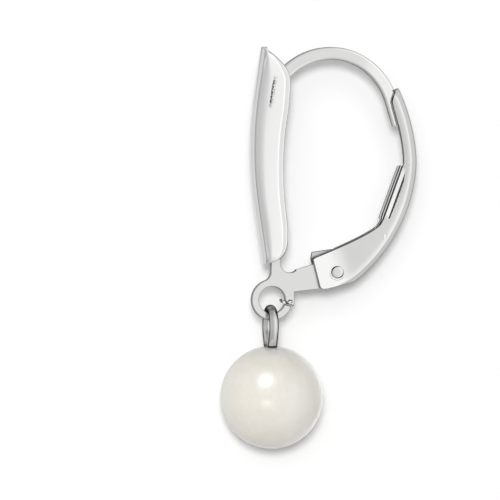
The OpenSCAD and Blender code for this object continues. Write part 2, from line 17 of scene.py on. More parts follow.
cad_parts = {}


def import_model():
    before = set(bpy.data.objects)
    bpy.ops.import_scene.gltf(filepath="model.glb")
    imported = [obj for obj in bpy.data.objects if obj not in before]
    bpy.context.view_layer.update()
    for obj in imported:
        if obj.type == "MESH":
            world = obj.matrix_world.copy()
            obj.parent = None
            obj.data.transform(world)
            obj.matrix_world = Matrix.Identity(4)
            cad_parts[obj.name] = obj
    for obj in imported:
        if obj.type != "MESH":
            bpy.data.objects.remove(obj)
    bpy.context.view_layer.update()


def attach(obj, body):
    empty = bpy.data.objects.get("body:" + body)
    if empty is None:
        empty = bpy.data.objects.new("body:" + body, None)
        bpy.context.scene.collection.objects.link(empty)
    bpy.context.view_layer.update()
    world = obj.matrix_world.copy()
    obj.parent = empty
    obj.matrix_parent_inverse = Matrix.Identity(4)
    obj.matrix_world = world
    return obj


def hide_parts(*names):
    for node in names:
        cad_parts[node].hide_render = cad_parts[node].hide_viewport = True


LOG = logging.getLogger("earring")
MM = 0.001
EDGE_ROOM = 0.4
SLIT_EDGE = 0.4
Point = tuple[float, float]
Triple = tuple[float, float, float]
Colour = tuple[float, float, float, float]
Rows = tuple[tuple[float, ...], ...]


# Plane geometry


def polar(r: float, a: float) -> Vector:
    """A 2-D vector of length r at angle a in degrees."""
    return Vector((r * math.cos(math.radians(a)), r * math.sin(math.radians(a))))


def turned(v: Vector, a: float) -> Vector:
    """The 2-D vector v turned by a degrees."""
    c, s = math.cos(math.radians(a)), math.sin(math.radians(a))
    return Vector((v.x * c - v.y * s, v.x * s + v.y * c))


def cross(a: Vector, b: Vector) -> float:
    """The cross product of two 2-D vectors."""
    return a.x * b.y - a.y * b.x


def meet(p: Vector, u: Vector, q: Vector, v: Vector) -> Vector:
    """The point where the line p + tu crosses the line q + tv."""
    return p + u * (cross(q - p, v) / cross(u, v))


def mix(a: float, b: float, t: float) -> float:
    """The value a share t of the way from a to b."""
    return a + (b - a) * t


def arc(c: Vector, r: float, a0: float, a1: float, n: int) -> list[Vector]:
    """Points of an arc about c, both ends included."""
    return [c + polar(r, mix(a0, a1, i / n)) for i in range(n + 1)]


def bezier(a: Vector, b: Vector, c: Vector, t: float) -> Vector:
    """The point at share t of a curve from a to c that is drawn towards b."""
    return a * (1 - t) ** 2 + b * 2 * t * (1 - t) + c * t * t


def table(rows: Sequence[Sequence[float]], x: float) -> float:
    """The value at x of a table of [place, value] rows, straight between them."""
    for (x0, y0), (x1, y1) in zip(rows, rows[1:]):
        if x <= x1:
            return mix(y0, y1, (x - x0) / (x1 - x0))
    return rows[-1][1]


def smooth(x: float, lo: float, hi: float) -> float:
    """A smooth step from 0 at lo to 1 at hi."""
    t = min(max((x - lo) / (hi - lo), 0.0), 1.0)
    return t * t * (3 - 2 * t)


def round_outline(rows: Sequence[tuple[float, float, float]], n: int = 8) -> list[Vector]:
    """The closed outline of a polygon whose corners are [y, z, radius]."""
    out: list[Vector] = []
    for i, (x, y, r) in enumerate(rows):
        q = Vector((x, y))
        if r <= 0:
            out.append(q)
            continue
        u = (Vector(rows[i - 1][:2]) - q).normalized()
        v = (Vector(rows[(i + 1) % len(rows)][:2]) - q).normalized()
        half = math.acos(max(-1.0, min(1.0, u.dot(v)))) / 2
        c = q + (u + v).normalized() * (r / math.sin(half))
        s = q + u * (r / math.tan(half)) - c
        side = -1 if cross(u, v) > 0 else 1
        sweep = 180 - 2 * math.degrees(half)
        out += [c + turned(s, side * sweep * k / n) for k in range(n + 1)]
    return out


# Shared layout


@dataclass(frozen=True)
class Arc:
    """One arc of the lever's back, which turns clockwise by its sweep in degrees."""

    centre: Vector
    radius: float
    start: float
    sweep: float

    @property
    def length(self) -> float:
        """Its length, as radius times sweep."""
        return self.radius * self.sweep

    def angle(self, t: float) -> float:
        """The angle at share t along it."""
        return mix(self.start, self.start - self.sweep, t)


@dataclass
class Layout:
    """Sizes in millimetres that several pieces share, and the places they give.

    Side views are points (y, z). They are the same sizes as the solids have.
    """

    bar_height: float = 13.9
    bar_top_width: float = 2.64
    bar_foot_width: float = 2.36
    bar_depth: float = 2.15
    bar_wall: float = 0.26
    bar_crown: float = 0.08
    bar_lean: float = 8.5
    bar_bend_radius: float = 24.0
    bar_bend_drop: float = 6.5
    wire_width: float = 0.80
    plate_thickness: float = 0.58
    crown_radius: float = 3.93
    front_turn: float = 43.0
    back_turn: float = 38.2
    back_radius: float = 4.31
    tip_turn: float = 35.1
    tip_length: float = 1.6
    root_drop: float = 1.47
    root_depth: float = 1.92
    neck_width: float = 0.62
    neck_setback: float = 0.71
    ring_drop: float = 2.13
    ring_forward: float = 0.23
    ring_hole: float = 1.68
    ring_band: float = 0.46
    arm_reach: float = 4.14
    arm_rise: float = 1.75
    tail_radius: float = 0.7
    lever_width: float = 1.24
    lever_wall: float = 0.2
    tip_gap: float = 0.33
    tip_cover: float = 5.8
    heel_distance: float = 1.31
    heel_angle: float = 27.0
    channel_depth: float = 0.91
    back_rows: Rows = ((0.978, 18.0), (0.574, 16.0), (0.813, 43.7))
    waist_top_row: Point = (0.371, 1.063)
    waist_foot_row: Point = (0.672, 1.35)
    toe_place: Point = (-1.07, -1.17)
    tail_clear: float = 0.33
    edge_rows: Rows = (
        (0, 0.3), (0.012, 0.6), (0.04, 0.88), (0.074, 0.955), (0.126, 0.985), (0.25, 1), (0.358, 1),
    )
    depth_rows: Rows = (
        (0, 0.95), (0.17, 0.955), (0.24, 0.995), (0.3, 1), (0.38, 0.958), (0.46, 0.93),
        (0.58, 0.888), (0.74, 0.84), (0.86, 0.823), (1, 0.8),
    )

    def __post_init__(self) -> None:
        """Works out the derived places."""
        self.crown_centre = Vector((0.0, self.wire_width / 2 - self.crown_radius))
        self.back_start = 90 - self.back_turn
        self.back_centre = self.crown_centre + polar(self.crown_radius - self.back_radius, self.back_start)
        self.tip_angle = self.back_start - self.tip_turn
        self.tip_start = self.back_centre + polar(self.back_radius, self.tip_angle)
        self.tip_heading = self.tip_angle - 90
        self.tip_end = self.tip_start + polar(self.tip_length, self.tip_heading)
        self.root = self.crown_centre + polar(self.crown_radius, 90 + self.front_turn)
        self.bar_top = self.root.y + self.root_drop
        self.bar_foot = self.bar_top - self.bar_height
        self.bend_face = self.root.x - self.root_depth - self.bow(self.root_drop)
        self.neck_middle = self.face(self.bar_height) + self.neck_setback
        self.ring = Vector((self.neck_middle - self.ring_forward, self.bar_foot - self.ring_drop))
        self.ring_outer = self.ring_hole / 2 + self.ring_band
        self.pivot = self.ring + Vector((self.arm_reach, self.arm_rise))
        self.half = self.lever_width / 2
        self.inner_half = self.half - self.lever_wall
        self._place_lever()
        self.waist_top, self.waist_foot = (
            self.back_at(s, self.channel_depth * deep)
            for s, deep in (self.waist_top_row, self.waist_foot_row))
        self.waist_way = (self.waist_foot - self.waist_top).normalized()
        self.waist_out = turned(self.waist_way, -90)

    def bow(self, h: float) -> float:
        """How far the bar's face lies behind its bend, at h below its top."""
        d, r = abs(h - self.bar_bend_drop), self.bar_bend_radius
        lean = math.radians(self.bar_lean)
        flat = r * math.sin(lean)
        if d < flat:
            return r - math.sqrt(r * r - d * d)
        return r * (1 - math.cos(lean)) + (d - flat) * math.tan(lean)

    def face(self, h: float) -> float:
        """The face line's y at h below the bar's top."""
        return self.bend_face + self.bow(h)

    def _place_lever(self) -> None:
        """Fits the chain of arcs of the lever's back between its two ends.

        The web is the inner back's lower end, which stays clear of the arm's tail.
        """
        p, a = Vector((0.0, 0.0)), 0.0
        self.chain: list[Arc] = []
        for radius, sweep in self.back_rows:
            c = p - polar(radius, a)
            self.chain.append(Arc(c, radius, a, sweep))
            a -= sweep
            p = c + polar(radius, a)
        self.lever_top = self.back_centre + polar(
            self.back_radius + self.wire_width / 2 + self.tip_gap, self.tip_angle + self.tip_cover)
        self.heel = self.pivot + polar(self.heel_distance, -self.heel_angle)
        span = self.heel - self.lever_top
        self.scale = span.length / p.length
        self.tilt = math.degrees(math.atan2(cross(p, span), p.dot(span)))
        self.chain_length = sum(piece.length for piece in self.chain)
        self.heel_out = self.back_way(1)
        self.heel_way = turned(self.heel_out, -90)
        self.toe = self.pivot + Vector(self.toe_place)
        self.sole_way = (self.toe - self.heel).normalized()
        arm = self.heel - self.pivot
        b, c, r = arm.dot(self.sole_way), arm.length, arm.length - self.tail_clear
        self.web_reach = -b - math.sqrt(b * b - (c * c - r * r))

    def _piece(self, s: float) -> tuple[Arc, float]:
        """The arc at share s along the lever's back, and the share along that arc."""
        t = s * self.chain_length
        for piece in self.chain[:-1]:
            if t <= piece.length:
                return piece, t / piece.length
            t -= piece.length
        return self.chain[-1], t / self.chain[-1].length

    def back_way(self, s: float) -> Vector:
        """The outward direction of the lever's back at share s."""
        piece, t = self._piece(s)
        return polar(1, piece.angle(t) + self.tilt)

    def back_at(self, s: float, d: float) -> Vector:
        """The point at share s along the lever's back, at depth d inside it."""
        piece, t = self._piece(s)
        a = piece.angle(t)
        surface = self.lever_top + turned(piece.centre + polar(piece.radius, a), self.tilt) * self.scale
        return surface - polar(d, a + self.tilt)


# Meshes


class Sketch:
    """Points and faces of one mesh, in millimetres, gathered before it becomes an object."""

    def __init__(self) -> None:
        """Starts with nothing drawn."""
        self.points: list[tuple[float, float, float]] = []
        self.faces: list[tuple[int, ...]] = []
        self.edge_shades: list[float] = []

    def ring(self, points: Iterable[Sequence[float]], rim: Union[float, Sequence[float]] = 0.0) -> list[int]:
        """Adds points and returns their numbers.

        Args:
            points: the points to add.
            rim: how much painted edge shade they carry, from 0 to 1, for all or for each.

        Returns:
            The new points' numbers.
        """
        start = len(self.points)
        self.points += [tuple(p) for p in points]
        count = len(self.points) - start
        self.edge_shades += [rim] * count if isinstance(rim, float) else list(rim)
        return list(range(start, len(self.points)))

    def band(self, a: list[int], b: list[int], closed: bool = True) -> None:
        """Joins two rows of equal length with quads.

        Args:
            a: numbers of the first row.
            b: numbers of the second row.
            closed: whether the rows close on themselves.
        """
        n = len(a)
        for i in range(n if closed else n - 1):
            j = (i + 1) % n
            self.faces.append((a[i], a[j], b[j], b[i]))

    def tube(self, rings: Sequence[list[int]], caps: bool = True) -> None:
        """Skins a row of closed rings, with a plain face over each end."""
        for a, b in zip(rings, rings[1:]):
            self.band(a, b)
        if caps:
            self.faces.append(tuple(reversed(rings[0])))
            self.faces.append(tuple(rings[-1]))

    def grid(self, rows: Sequence[list[int]], flip: bool = False) -> None:
        """Fills a grid of rows with quads."""
        for a, b in zip(rows, rows[1:]):
            for i in range(len(a) - 1):
                quad = (a[i], a[i + 1], b[i + 1], b[i])
                self.faces.append(tuple(reversed(quad)) if flip else quad)

    def build(self, name: str, smooth_angle: float = 35.0) -> bpy.types.Object:
        """Makes the object, in metres, with its faces turned outwards.

        Args:
            name: the object's name.
            smooth_angle: edges sharper than this stay sharp in shading.

        Returns:
            The new object, linked to the scene.
        """
        mesh = bpy.data.meshes.new(name)
        mesh.from_pydata([(x * MM, y * MM, z * MM) for x, y, z in self.points], [], self.faces)
        store_edge_shade(mesh, self.edge_shades)
        return finish_mesh(name, mesh, smooth_angle)


def store_edge_shade(mesh: bpy.types.Mesh, values: Sequence[float]) -> None:
    """Stores on each point how much painted edge shade it carries; the gold also roughens those places."""
    mesh.attributes.new("rim", "FLOAT", "POINT").data.foreach_set("value", values)


def linked(name: str, data: bpy.types.ID) -> bpy.types.Object:
    """A new object that holds the data, linked to the scene."""
    obj = bpy.data.objects.new(name, data)
    bpy.context.scene.collection.objects.link(obj)
    return obj


def finish_mesh(name: str, mesh: bpy.types.Mesh, smooth_angle: float = 35.0) -> bpy.types.Object:
    """Cleans a mesh, turns its faces outwards, shades it and links its object.

    Args:
        name: the object's name.
        mesh: the mesh, in metres.
        smooth_angle: edges sharper than this, in degrees, stay sharp.

    Returns:
        The new object.
    """
    bm = bmesh.new()
    bm.from_mesh(mesh)
    bmesh.ops.remove_doubles(bm, verts=bm.verts, dist=2e-8)
    bmesh.ops.recalc_face_normals(bm, faces=bm.faces)
    limit = math.radians(smooth_angle)
    for f in bm.faces:
        f.smooth = True
    for e in bm.edges:
        e.smooth = not (e.is_manifold and e.calc_face_angle(0.0) > limit)
    bm.to_mesh(mesh)
    bm.free()
    return linked(name, mesh)


def plate(name: str, loops: Sequence[Sequence[Vector]], x_low: float, x_high: float, edge: float,
          shade_and_dull: Callable[[Vector, int], float], wall: float = 1.0, steps: int = 3) -> bpy.types.Object:
    """A flat sheet across X with rounded edges, from closed side-view outlines.

    Args:
        name: the object's name.
        loops: the outer outline first, then holes.
        x_low: the sheet's lower face.
        x_high: the sheet's upper face.
        edge: radius of the rounding along the edges.
        shade_and_dull: how much painted edge shade the edge carries, which also roughens the gold there, from
            a place and its loop's number.
        wall: the share of that painted shade on the wall between the roundings.
        wall: the share of that dullness on the wall between the roundings.
        steps: facets of that rounding.

    Returns:
        The new object.
    """
    sketch = Sketch()
    mid, half = (x_low + x_high) / 2, (x_high - x_low) / 2
    cleaned = []
    for k, raw in enumerate(loops):
        pts = clean_loop(raw)
        area = sum(cross(pts[i - 1], pts[i]) for i in range(len(pts)))
        if (area < 0) != (k > 0):
            pts.reverse()
        cleaned.append(pts)
    top: list[int] = []
    low: list[int] = []
    top_loops: list[list[Vector]] = []
    for k, pts in enumerate(cleaned):
        normals = loop_normals(pts)
        most = edge if k < 2 else edge * SLIT_EDGE
        room = [room_behind(p, -n.normalized(), cleaned) for p, n in zip(pts, normals)]
        widths = [min(most, EDGE_ROOM * free) for free in room]
        rows = []
        for side in (-1, 1):
            for i in (range(steps + 1) if side < 0 else range(steps, -1, -1)):
                a = math.radians(90 * i / steps)
                ring = []
                for p, n, w in zip(pts, normals, widths):
                    q = p - n * (w * (1 - math.sin(a)))
                    ring.append((mid + side * (half - min(w, half) * (1 - math.cos(a))), q.x, q.y))
                # Painted edge shade: full on the upper rounding, a share of it on the wall and the lower
                # rounding.
                share = 0.0 if i == 0 else wall if i == steps or side < 0 else 1.0
                rows.append(sketch.ring(ring, [shade_and_dull(p, k) * share for p in pts]))
        for a, b in zip(rows, rows[1:]):
            sketch.band(a, b)
        low += rows[0]
        top += rows[-1]
        top_loops.append([p - n * w for p, n, w in zip(pts, normals, widths)])
    for tri in filled(top_loops):
        sketch.faces.append(tuple(top[i] for i in tri))
        sketch.faces.append(tuple(low[i] for i in reversed(tri)))
    obj = sketch.build(name, 50)
    flatten_sides(obj)
    return obj


def filled(loops: Sequence[Sequence[Vector]]) -> list[tuple[int, ...]]:
    """Triangles that fill an outline with holes, as numbers counted through all its points."""
    points = [p for loop in loops for p in loop]
    edges, start = [], 0
    for loop in loops:
        edges += [(start + i, start + (i + 1) % len(loop)) for i in range(len(loop))]
        start += len(loop)
    made, _, tris, origin, _, _ = delaunay_2d_cdt(points, edges, [], 0, 1e-7)

    def number(i: int) -> int:
        """The outline's point that a triangle's corner stands for."""
        return origin[i][0] if origin[i] else min(range(start), key=lambda k: (points[k] - made[i]).length)

    def crossed(middle: Vector, a: Vector, b: Vector) -> bool:
        """Whether a ray from the middle to the right crosses the edge from a to b."""
        return (a.y > middle.y) != (b.y > middle.y) and (
            middle.x < a.x + (middle.y - a.y) / (b.y - a.y) * (b.x - a.x))

    out = []
    for tri in tris:
        middle = sum((made[i] for i in tri), Vector((0.0, 0.0))) / 3
        crossings = sum(crossed(middle, points[a], points[b]) for a, b in edges)
        corners = tuple(number(i) for i in tri)
        if crossings % 2 and len(set(corners)) == 3:
            out.append(corners)
    return out


def flatten_sides(obj: bpy.types.Object) -> None:
    """Shades the faces that look along X as true flats."""
    for f in obj.data.polygons:
        if abs(f.normal.x) > 0.9999:
            f.use_smooth = False


def room_behind(p: Vector, way: Vector, loops: Sequence[Sequence[Vector]]) -> float:
    """How far it is from a point on an outline, along a direction, to the next edge."""
    best = 9.0
    for pts in loops:
        for a, b in zip(pts, [*pts[1:], pts[0]]):
            d = b - a
            side = cross(way, d)
            if abs(side) < 1e-9:
                continue
            t, u = cross(a - p, d) / side, cross(a - p, way) / side
            if t > 0.012 and 0 <= u <= 1:
                best = min(best, t)
    return best


def clean_loop(points: Sequence[Vector], gap: float = 1e-4) -> list[Vector]:
    """The closed outline without doubled points."""
    out: list[Vector] = []
    for p in points:
        if not out or (p - out[-1]).length > gap:
            out.append(Vector(p))
    if (out[0] - out[-1]).length <= gap:
        out.pop()
    return out


def loop_normals(pts: Sequence[Vector]) -> list[Vector]:
    """Outward mitre directions of a counter-clockwise outline."""
    out = []
    for i, p in enumerate(pts):
        a = (p - pts[i - 1]).normalized()
        b = (pts[(i + 1) % len(pts)] - p).normalized()
        na, nb = Vector((a.y, -a.x)), Vector((b.y, -b.x))
        n = (na + nb).normalized()
        out.append(n / max(n.dot(na), 0.6))
    return out


def joined(name: str, parts: Sequence[bpy.types.Object]) -> bpy.types.Object:
    """One object from several, keeping their shading."""
    bm = bmesh.new()
    for o in parts:
        bm.from_mesh(o.data)
        bpy.data.objects.remove(o)
    mesh = bpy.data.meshes.new(name)
    bm.to_mesh(mesh)
    bm.free()
    return linked(name, mesh)


# Node trees

Value = Union["Sock", float, Sequence[float]]


class Sock:
    """A shader socket that can be used in Python expressions."""

    def __init__(self, tree: "Nodes", socket: bpy.types.NodeSocket) -> None:
        """Wraps one output socket of a tree."""
        self.tree, self.socket = tree, socket

    def _math(self, op: str, a: Value, b: Value = 0.0) -> "Sock":
        """A Math node on two values."""
        return self.tree.node("ShaderNodeMath", {"operation": op}, {0: a, 1: b})

    def __add__(self, other: Value) -> "Sock":
        """self + other."""
        return self._math("ADD", self, other)

    def __sub__(self, other: Value) -> "Sock":
        """self - other."""
        return self._math("SUBTRACT", self, other)

    def __mul__(self, other: Value) -> "Sock":
        """self * other."""
        return self._math("MULTIPLY", self, other)

    def __truediv__(self, other: Value) -> "Sock":
        """self / other."""
        return self._math("DIVIDE", self, other)

    def __rsub__(self, other: Value) -> "Sock":
        """other - self."""
        return self._math("SUBTRACT", other, self)

    __radd__ = __add__
    __rmul__ = __mul__

    def __pow__(self, other: Value) -> "Sock":
        """self to a power."""
        return self._math("POWER", self, other)

    def step(self, lo: float, hi: float, low: float = 0.0, high: float = 1.0) -> "Sock":
        """A smooth step of the value from low at lo to high at hi."""
        return self.tree.node("ShaderNodeMapRange", {"interpolation_type": "SMOOTHSTEP", "clamp": True},
                              {0: self, 1: lo, 2: hi, 3: low, 4: high})


class Nodes:
    """A node tree that is filled from Python."""

    def __init__(self, tree: bpy.types.NodeTree) -> None:
        """Starts on an emptied tree."""
        self.tree = tree
        tree.nodes.clear()

    def node(self, kind: str, settings: Optional[dict] = None, inputs: Optional[dict] = None,
             out: Union[int, str] = 0) -> Sock:
        """Adds a node.

        Args:
            kind: the node's type name.
            settings: attributes set first; "stops" fills a colour ramp.
            inputs: values or sockets by input name or number.
            out: the output to return.

        Returns:
            The wrapped output.
        """
        n = self.tree.nodes.new(kind)
        for key, value in (settings or {}).items():
            if key == "stops":
                ramp = n.color_ramp.elements
                while len(ramp) < len(value):
                    ramp.new(0.5)
                for e, (place, colour) in zip(ramp, value):
                    e.position, e.color = place, colour
            else:
                setattr(n, key, value)
        for key, value in (inputs or {}).items():
            self.put(n.inputs[key], value)
        sockets = n.outputs
        return Sock(self, sockets[out]) if len(sockets) else Sock(self, n.inputs[0])

    def put(self, socket: bpy.types.NodeSocket, value: Value) -> None:
        """Links or sets one input."""
        if isinstance(value, Sock):
            self.tree.links.new(value.socket, socket)
        else:
            socket.default_value = value

    def blend(self, factor: Value, a: Value, b: Value) -> Sock:
        """A colour mix of a and b."""
        n = self.tree.nodes.new("ShaderNodeMix")
        n.data_type = "RGBA"
        for key, value in ((0, factor), (6, a), (7, b)):
            self.put(n.inputs[key], value)
        return Sock(self, n.outputs[2])

    def place(self) -> "Spot":
        """The object's own coordinates, in millimetres."""
        metres = self.node("ShaderNodeTexCoord", out="Object")
        whole = self.node("ShaderNodeVectorMath", {"operation": "SCALE"}, {0: metres, "Scale": 1 / MM})
        outputs = self.node("ShaderNodeSeparateXYZ", {}, {0: whole}).socket.node.outputs
        return Spot(whole, *(Sock(self, part) for part in outputs))

    def noise(self, at: "Spot", scale: float, detail: float = 3.0,
              stretch: Sequence[float] = (1, 1, 1)) -> Sock:
        """A noise value on stretched coordinates, scale in cells per millimetre."""
        cells = [s * scale for s in stretch]
        moved = self.node("ShaderNodeMapping", {}, {"Vector": at.whole, "Scale": cells})
        return self.node("ShaderNodeTexNoise", {}, {"Vector": moved, "Scale": 1.0, "Detail": detail})

    def bump(self, height: Sock, strength: float, distance: float, **more: Sock) -> Sock:
        """A normal bumped by a height, distance in millimetres."""
        return self.node("ShaderNodeBump", {}, {
            "Height": height, "Strength": strength, "Distance": distance * MM, **more})

    def rim(self) -> Sock:
        """How much painted edge shade a place carries."""
        return self.node("ShaderNodeAttribute", {"attribute_name": "rim"}, out="Fac")


@dataclass(frozen=True)
class Spot:
    """A place in the object, in millimetres, whole and by axis."""

    whole: Sock
    x: Sock
    y: Sock
    z: Sock


def rgb(r: float, g: float, b: float) -> Colour:
    """An opaque colour."""
    return (r, g, b, 1.0)


def grey(v: float) -> Colour:
    """An opaque grey."""
    return rgb(v, v, v)


# Marks on the gold


class Mark(ABC):
    """A place on a finish that has a colour of its own."""

    colour: Colour

    @abstractmethod
    def mask(self, t: Nodes, at: Spot) -> Sock:
        """How much a place belongs to the mark, from 0 to 1."""


@dataclass(frozen=True)
class EdgeShade(Mark):
    """Painted shade along the outline of a round wire, darker where it turns from view: full below its bend
    and faint above.
    """

    colour = grey(0.03)
    start: float
    full: float
    bend: float

    def mask(self, t: Nodes, at: Spot) -> Sock:
        """How much a place belongs to the mark, from 0 to 1."""
        facing = t.node("ShaderNodeLayerWeight", {}, {"Blend": 0.5}, out="Facing")
        return facing.step(self.start, self.full) * at.z.step(self.bend - 0.25, self.bend + 0.1, 1.0, 0.3)


@dataclass(frozen=True)
class GlueAndHoleShade(Mark):
    """Near black below a height, where the wire enters the pearl: dark glue, and painted shade inside the
    drilled hole.
    """

    colour = rgb(0.02, 0.018, 0.015)
    height: float

    def mask(self, t: Nodes, at: Spot) -> Sock:
        """How much a place belongs to the mark, from 0 to 1."""
        return at.z.step(self.height + 0.02, self.height + 0.07, 1.0, 0.0)


@dataclass(frozen=True)
class DarkStreak(Mark):
    """A speckled dark streak along a bowed line on the near wall."""

    colour = grey(0.04)
    top: Point
    middle: Point
    foot: Point

    def mask(self, t: Nodes, at: Spot) -> Sock:
        """How much a place belongs to the mark, from 0 to 1."""
        (y0, z0), (y1, z1) = self.top, self.foot
        run = (at.z - z1) / (z0 - z1)
        bow = 4 * (self.middle[0] - mix(y1, y0, (self.middle[1] - z1) / (z0 - z1)))
        off = at.y - (run * y0 + (1.0 - run) * y1) - run * (1.0 - run) * bow
        speck = t.noise(at, 17.0, 2.0, (0.2, 1.0, 0.7)).step(0.42, 0.5)
        haze = t.noise(at, 12.0, 1.0, (0.2, 0.9, 1.0)).step(0.42, 0.6)
        core = off.step(-0.07, -0.03) * off.step(0.05, 0.09, 1.0, 0.0) * speck
        halo = off.step(0.03, 0.07) * off.step(0.07, 0.28, 0.6, 0.0) * haze
        ends = run.step(-0.05, 0.25) * run.step(0.8, 1.15, 1.0, 0.0)
        return (core + halo) * ends * at.x.step(0.5, 0.8)


@dataclass(frozen=True)
class RivetShadow(Mark):
    """A painted shadow: a thin dark crescent below a rivet's head."""

    colour = grey(0.1)
    centre: Point
    radius: float
    half_line: float = 0.03

    def mask(self, t: Nodes, at: Spot) -> Sock:
        """How much a place belongs to the mark, from 0 to 1."""
        across, above = at.y - self.centre[0], at.z - self.centre[1]
        off = (across * across + above * above) ** 0.5
        inside = off.step(self.radius - self.half_line, self.radius)
        outside = off.step(self.radius, self.radius + self.half_line, 1.0, 0.0)
        return inside * outside * (above + across * 0.3).step(-0.3, 0.0, 0.6, 0.0)


class Relief(ABC):
    """A low form on a finish that bends the light."""

    @abstractmethod
    def height(self, t: Nodes, at: Spot) -> Sock:
        """Its height at a place, in millimetres."""

    def bend(self, t: Nodes, at: Spot, normal: Sock) -> Sock:
        """The normal with the form's slope added."""
        return t.bump(self.height(t, at), 1.0, 1.0, Normal=normal)


@dataclass(frozen=True)
class Dish(Relief):
    """A sheet that tilts behind a line, as where a cheek was pressed about its rivet."""

    start: Point
    way: Point
    slope: float
    blend: float

    def height(self, t: Nodes, at: Spot) -> Sock:
        """Its height at a place, in millimetres."""
        ahead = (at.y - self.start[0]) * self.way[0] + (at.z - self.start[1]) * self.way[1]
        near = t.node("ShaderNodeMath", {"operation": "SMOOTH_MIN"}, {0: ahead, 1: 0.0, 2: self.blend})
        return near * -self.slope


@dataclass(frozen=True)
class Spark(Relief):
    """A small lens-shaped place on the near side, where the polish has left a bright mark."""

    centre: Point
    lie: float
    long: float
    wide: float
    slope: float

    def height(self, t: Nodes, at: Spot) -> Sock:
        """Its height at a place, in millimetres."""
        across, above = at.y - self.centre[0], at.z - self.centre[1]
        c, s = polar(1, self.lie)
        along, aside = (across * c + above * s) / self.long, (above * c - across * s) / self.wide
        off = (along * along + aside * aside) ** 0.5
        return across * off.step(0.6, 1.2, 1.0, 0.0) * at.x.step(0.5, 0.58) * -self.slope


# Finishes


@dataclass(frozen=True)
class Finish(ABC):
    """A named finish; each kind draws its own shader."""

    name: str

    @abstractmethod
    def shader(self, t: Nodes) -> Sock:
        """Draws the finish and returns its shader."""

    def make(self) -> bpy.types.Material:
        """Builds the material."""
        mat = bpy.data.materials.new(self.name)
        mat.use_nodes = True
        t = Nodes(mat.node_tree)
        t.node("ShaderNodeOutputMaterial", {}, {"Surface": self.shader(t)})
        return mat


@dataclass(frozen=True)
class Gold(Finish):
    """Polished white gold: fine wipe marks, faint mottling and softer scratches, with painted edge shade that
    darkens the edges towards the edge tone and roughens them.

    The tone above a height is painted shade, given as (low height, high height, tone above it).
    """

    tone: float = 0.88
    warmth: float = 0.012
    roughness: float = 0.16
    spread: float = 0.06
    grain: Triple = (1.0, 6.0, 1.0)
    relief: float = 0.004
    # The tone of the painted edge shade.
    edge_tone: float = 0.3
    graze: float = 0.25
    shade_above: Optional[Triple] = None
    marks: tuple[Mark, ...] = ()
    forms: tuple[Relief, ...] = ()

    def warm(self, tone: float) -> Colour:
        """The metal's colour at that tone."""
        return rgb(tone, tone, tone - self.warmth)

    def shader(self, t: Nodes) -> Sock:
        """Draws the finish and returns its shader."""
        at = t.place()
        cloud = t.noise(at, 0.9, 2.0)
        wipe = t.noise(at, 5.0, 4.0, self.grain)
        darker = self.tone - 0.03
        mottled = rgb(darker, darker - self.warmth / 2, darker - self.warmth)
        colour = t.blend(cloud, mottled, self.warm(self.tone))
        # Painted shade: the colour falls to a darker tone above a height.
        if self.shade_above is not None:
            low, high, upper = self.shade_above
            colour = t.blend(at.z.step(low, high), colour, self.warm(upper))
        # Painted edge shade: the rim attribute darkens the colour towards the edge tone.
        rim = t.rim()
        colour = t.blend(rim, colour, rgb(self.edge_tone, self.edge_tone, self.edge_tone * 0.99))
        for mark in self.marks:
            colour = t.blend(mark.mask(t, at), colour, mark.colour)
        normal = t.bump(wipe * 0.6 + cloud * 0.4, 0.25, self.relief)
        for form in self.forms:
            normal = form.bend(t, at, normal)
        rough = self.roughness + (wipe - 0.5) * self.spread + (cloud - 0.5) * self.spread + rim * 0.15
        return t.node("ShaderNodeBsdfPrincipled", {}, {
            "Base Color": colour, "Metallic": 1.0, "Roughness": rough, "Normal": normal,
            "Specular Tint": grey(self.graze)})


@dataclass(frozen=True)
class SpringSteel(Finish):
    """Satin spring metal with fine rolled lines along the strip, its edges painted near black as shade."""

    tone: float = 0.85
    pitch: float = 0.2

    def shader(self, t: Nodes) -> Sock:
        """Draws the finish and returns its shader."""
        at = t.place()
        wave = t.node("ShaderNodeMath", {"operation": "SINE"}, {0: at.x * (2 * math.pi / self.pitch)})
        ribs = wave * 0.5 + 0.5
        grime = t.noise(at, 4.0, 4.0)
        colour = t.blend(ribs.step(0.25, 0.75) * 0.85 + grime * 0.2, grey(self.tone * 0.5), grey(self.tone))
        # Painted edge shade: the rim attribute darkens the edges to near black.
        return t.node("ShaderNodeBsdfPrincipled", {}, {
            "Base Color": t.blend(t.rim(), colour, grey(0.05)), "Metallic": 1.0,
            "Roughness": 0.3 + grime * 0.15, "Normal": t.bump(ribs, 0.5, 0.02)})


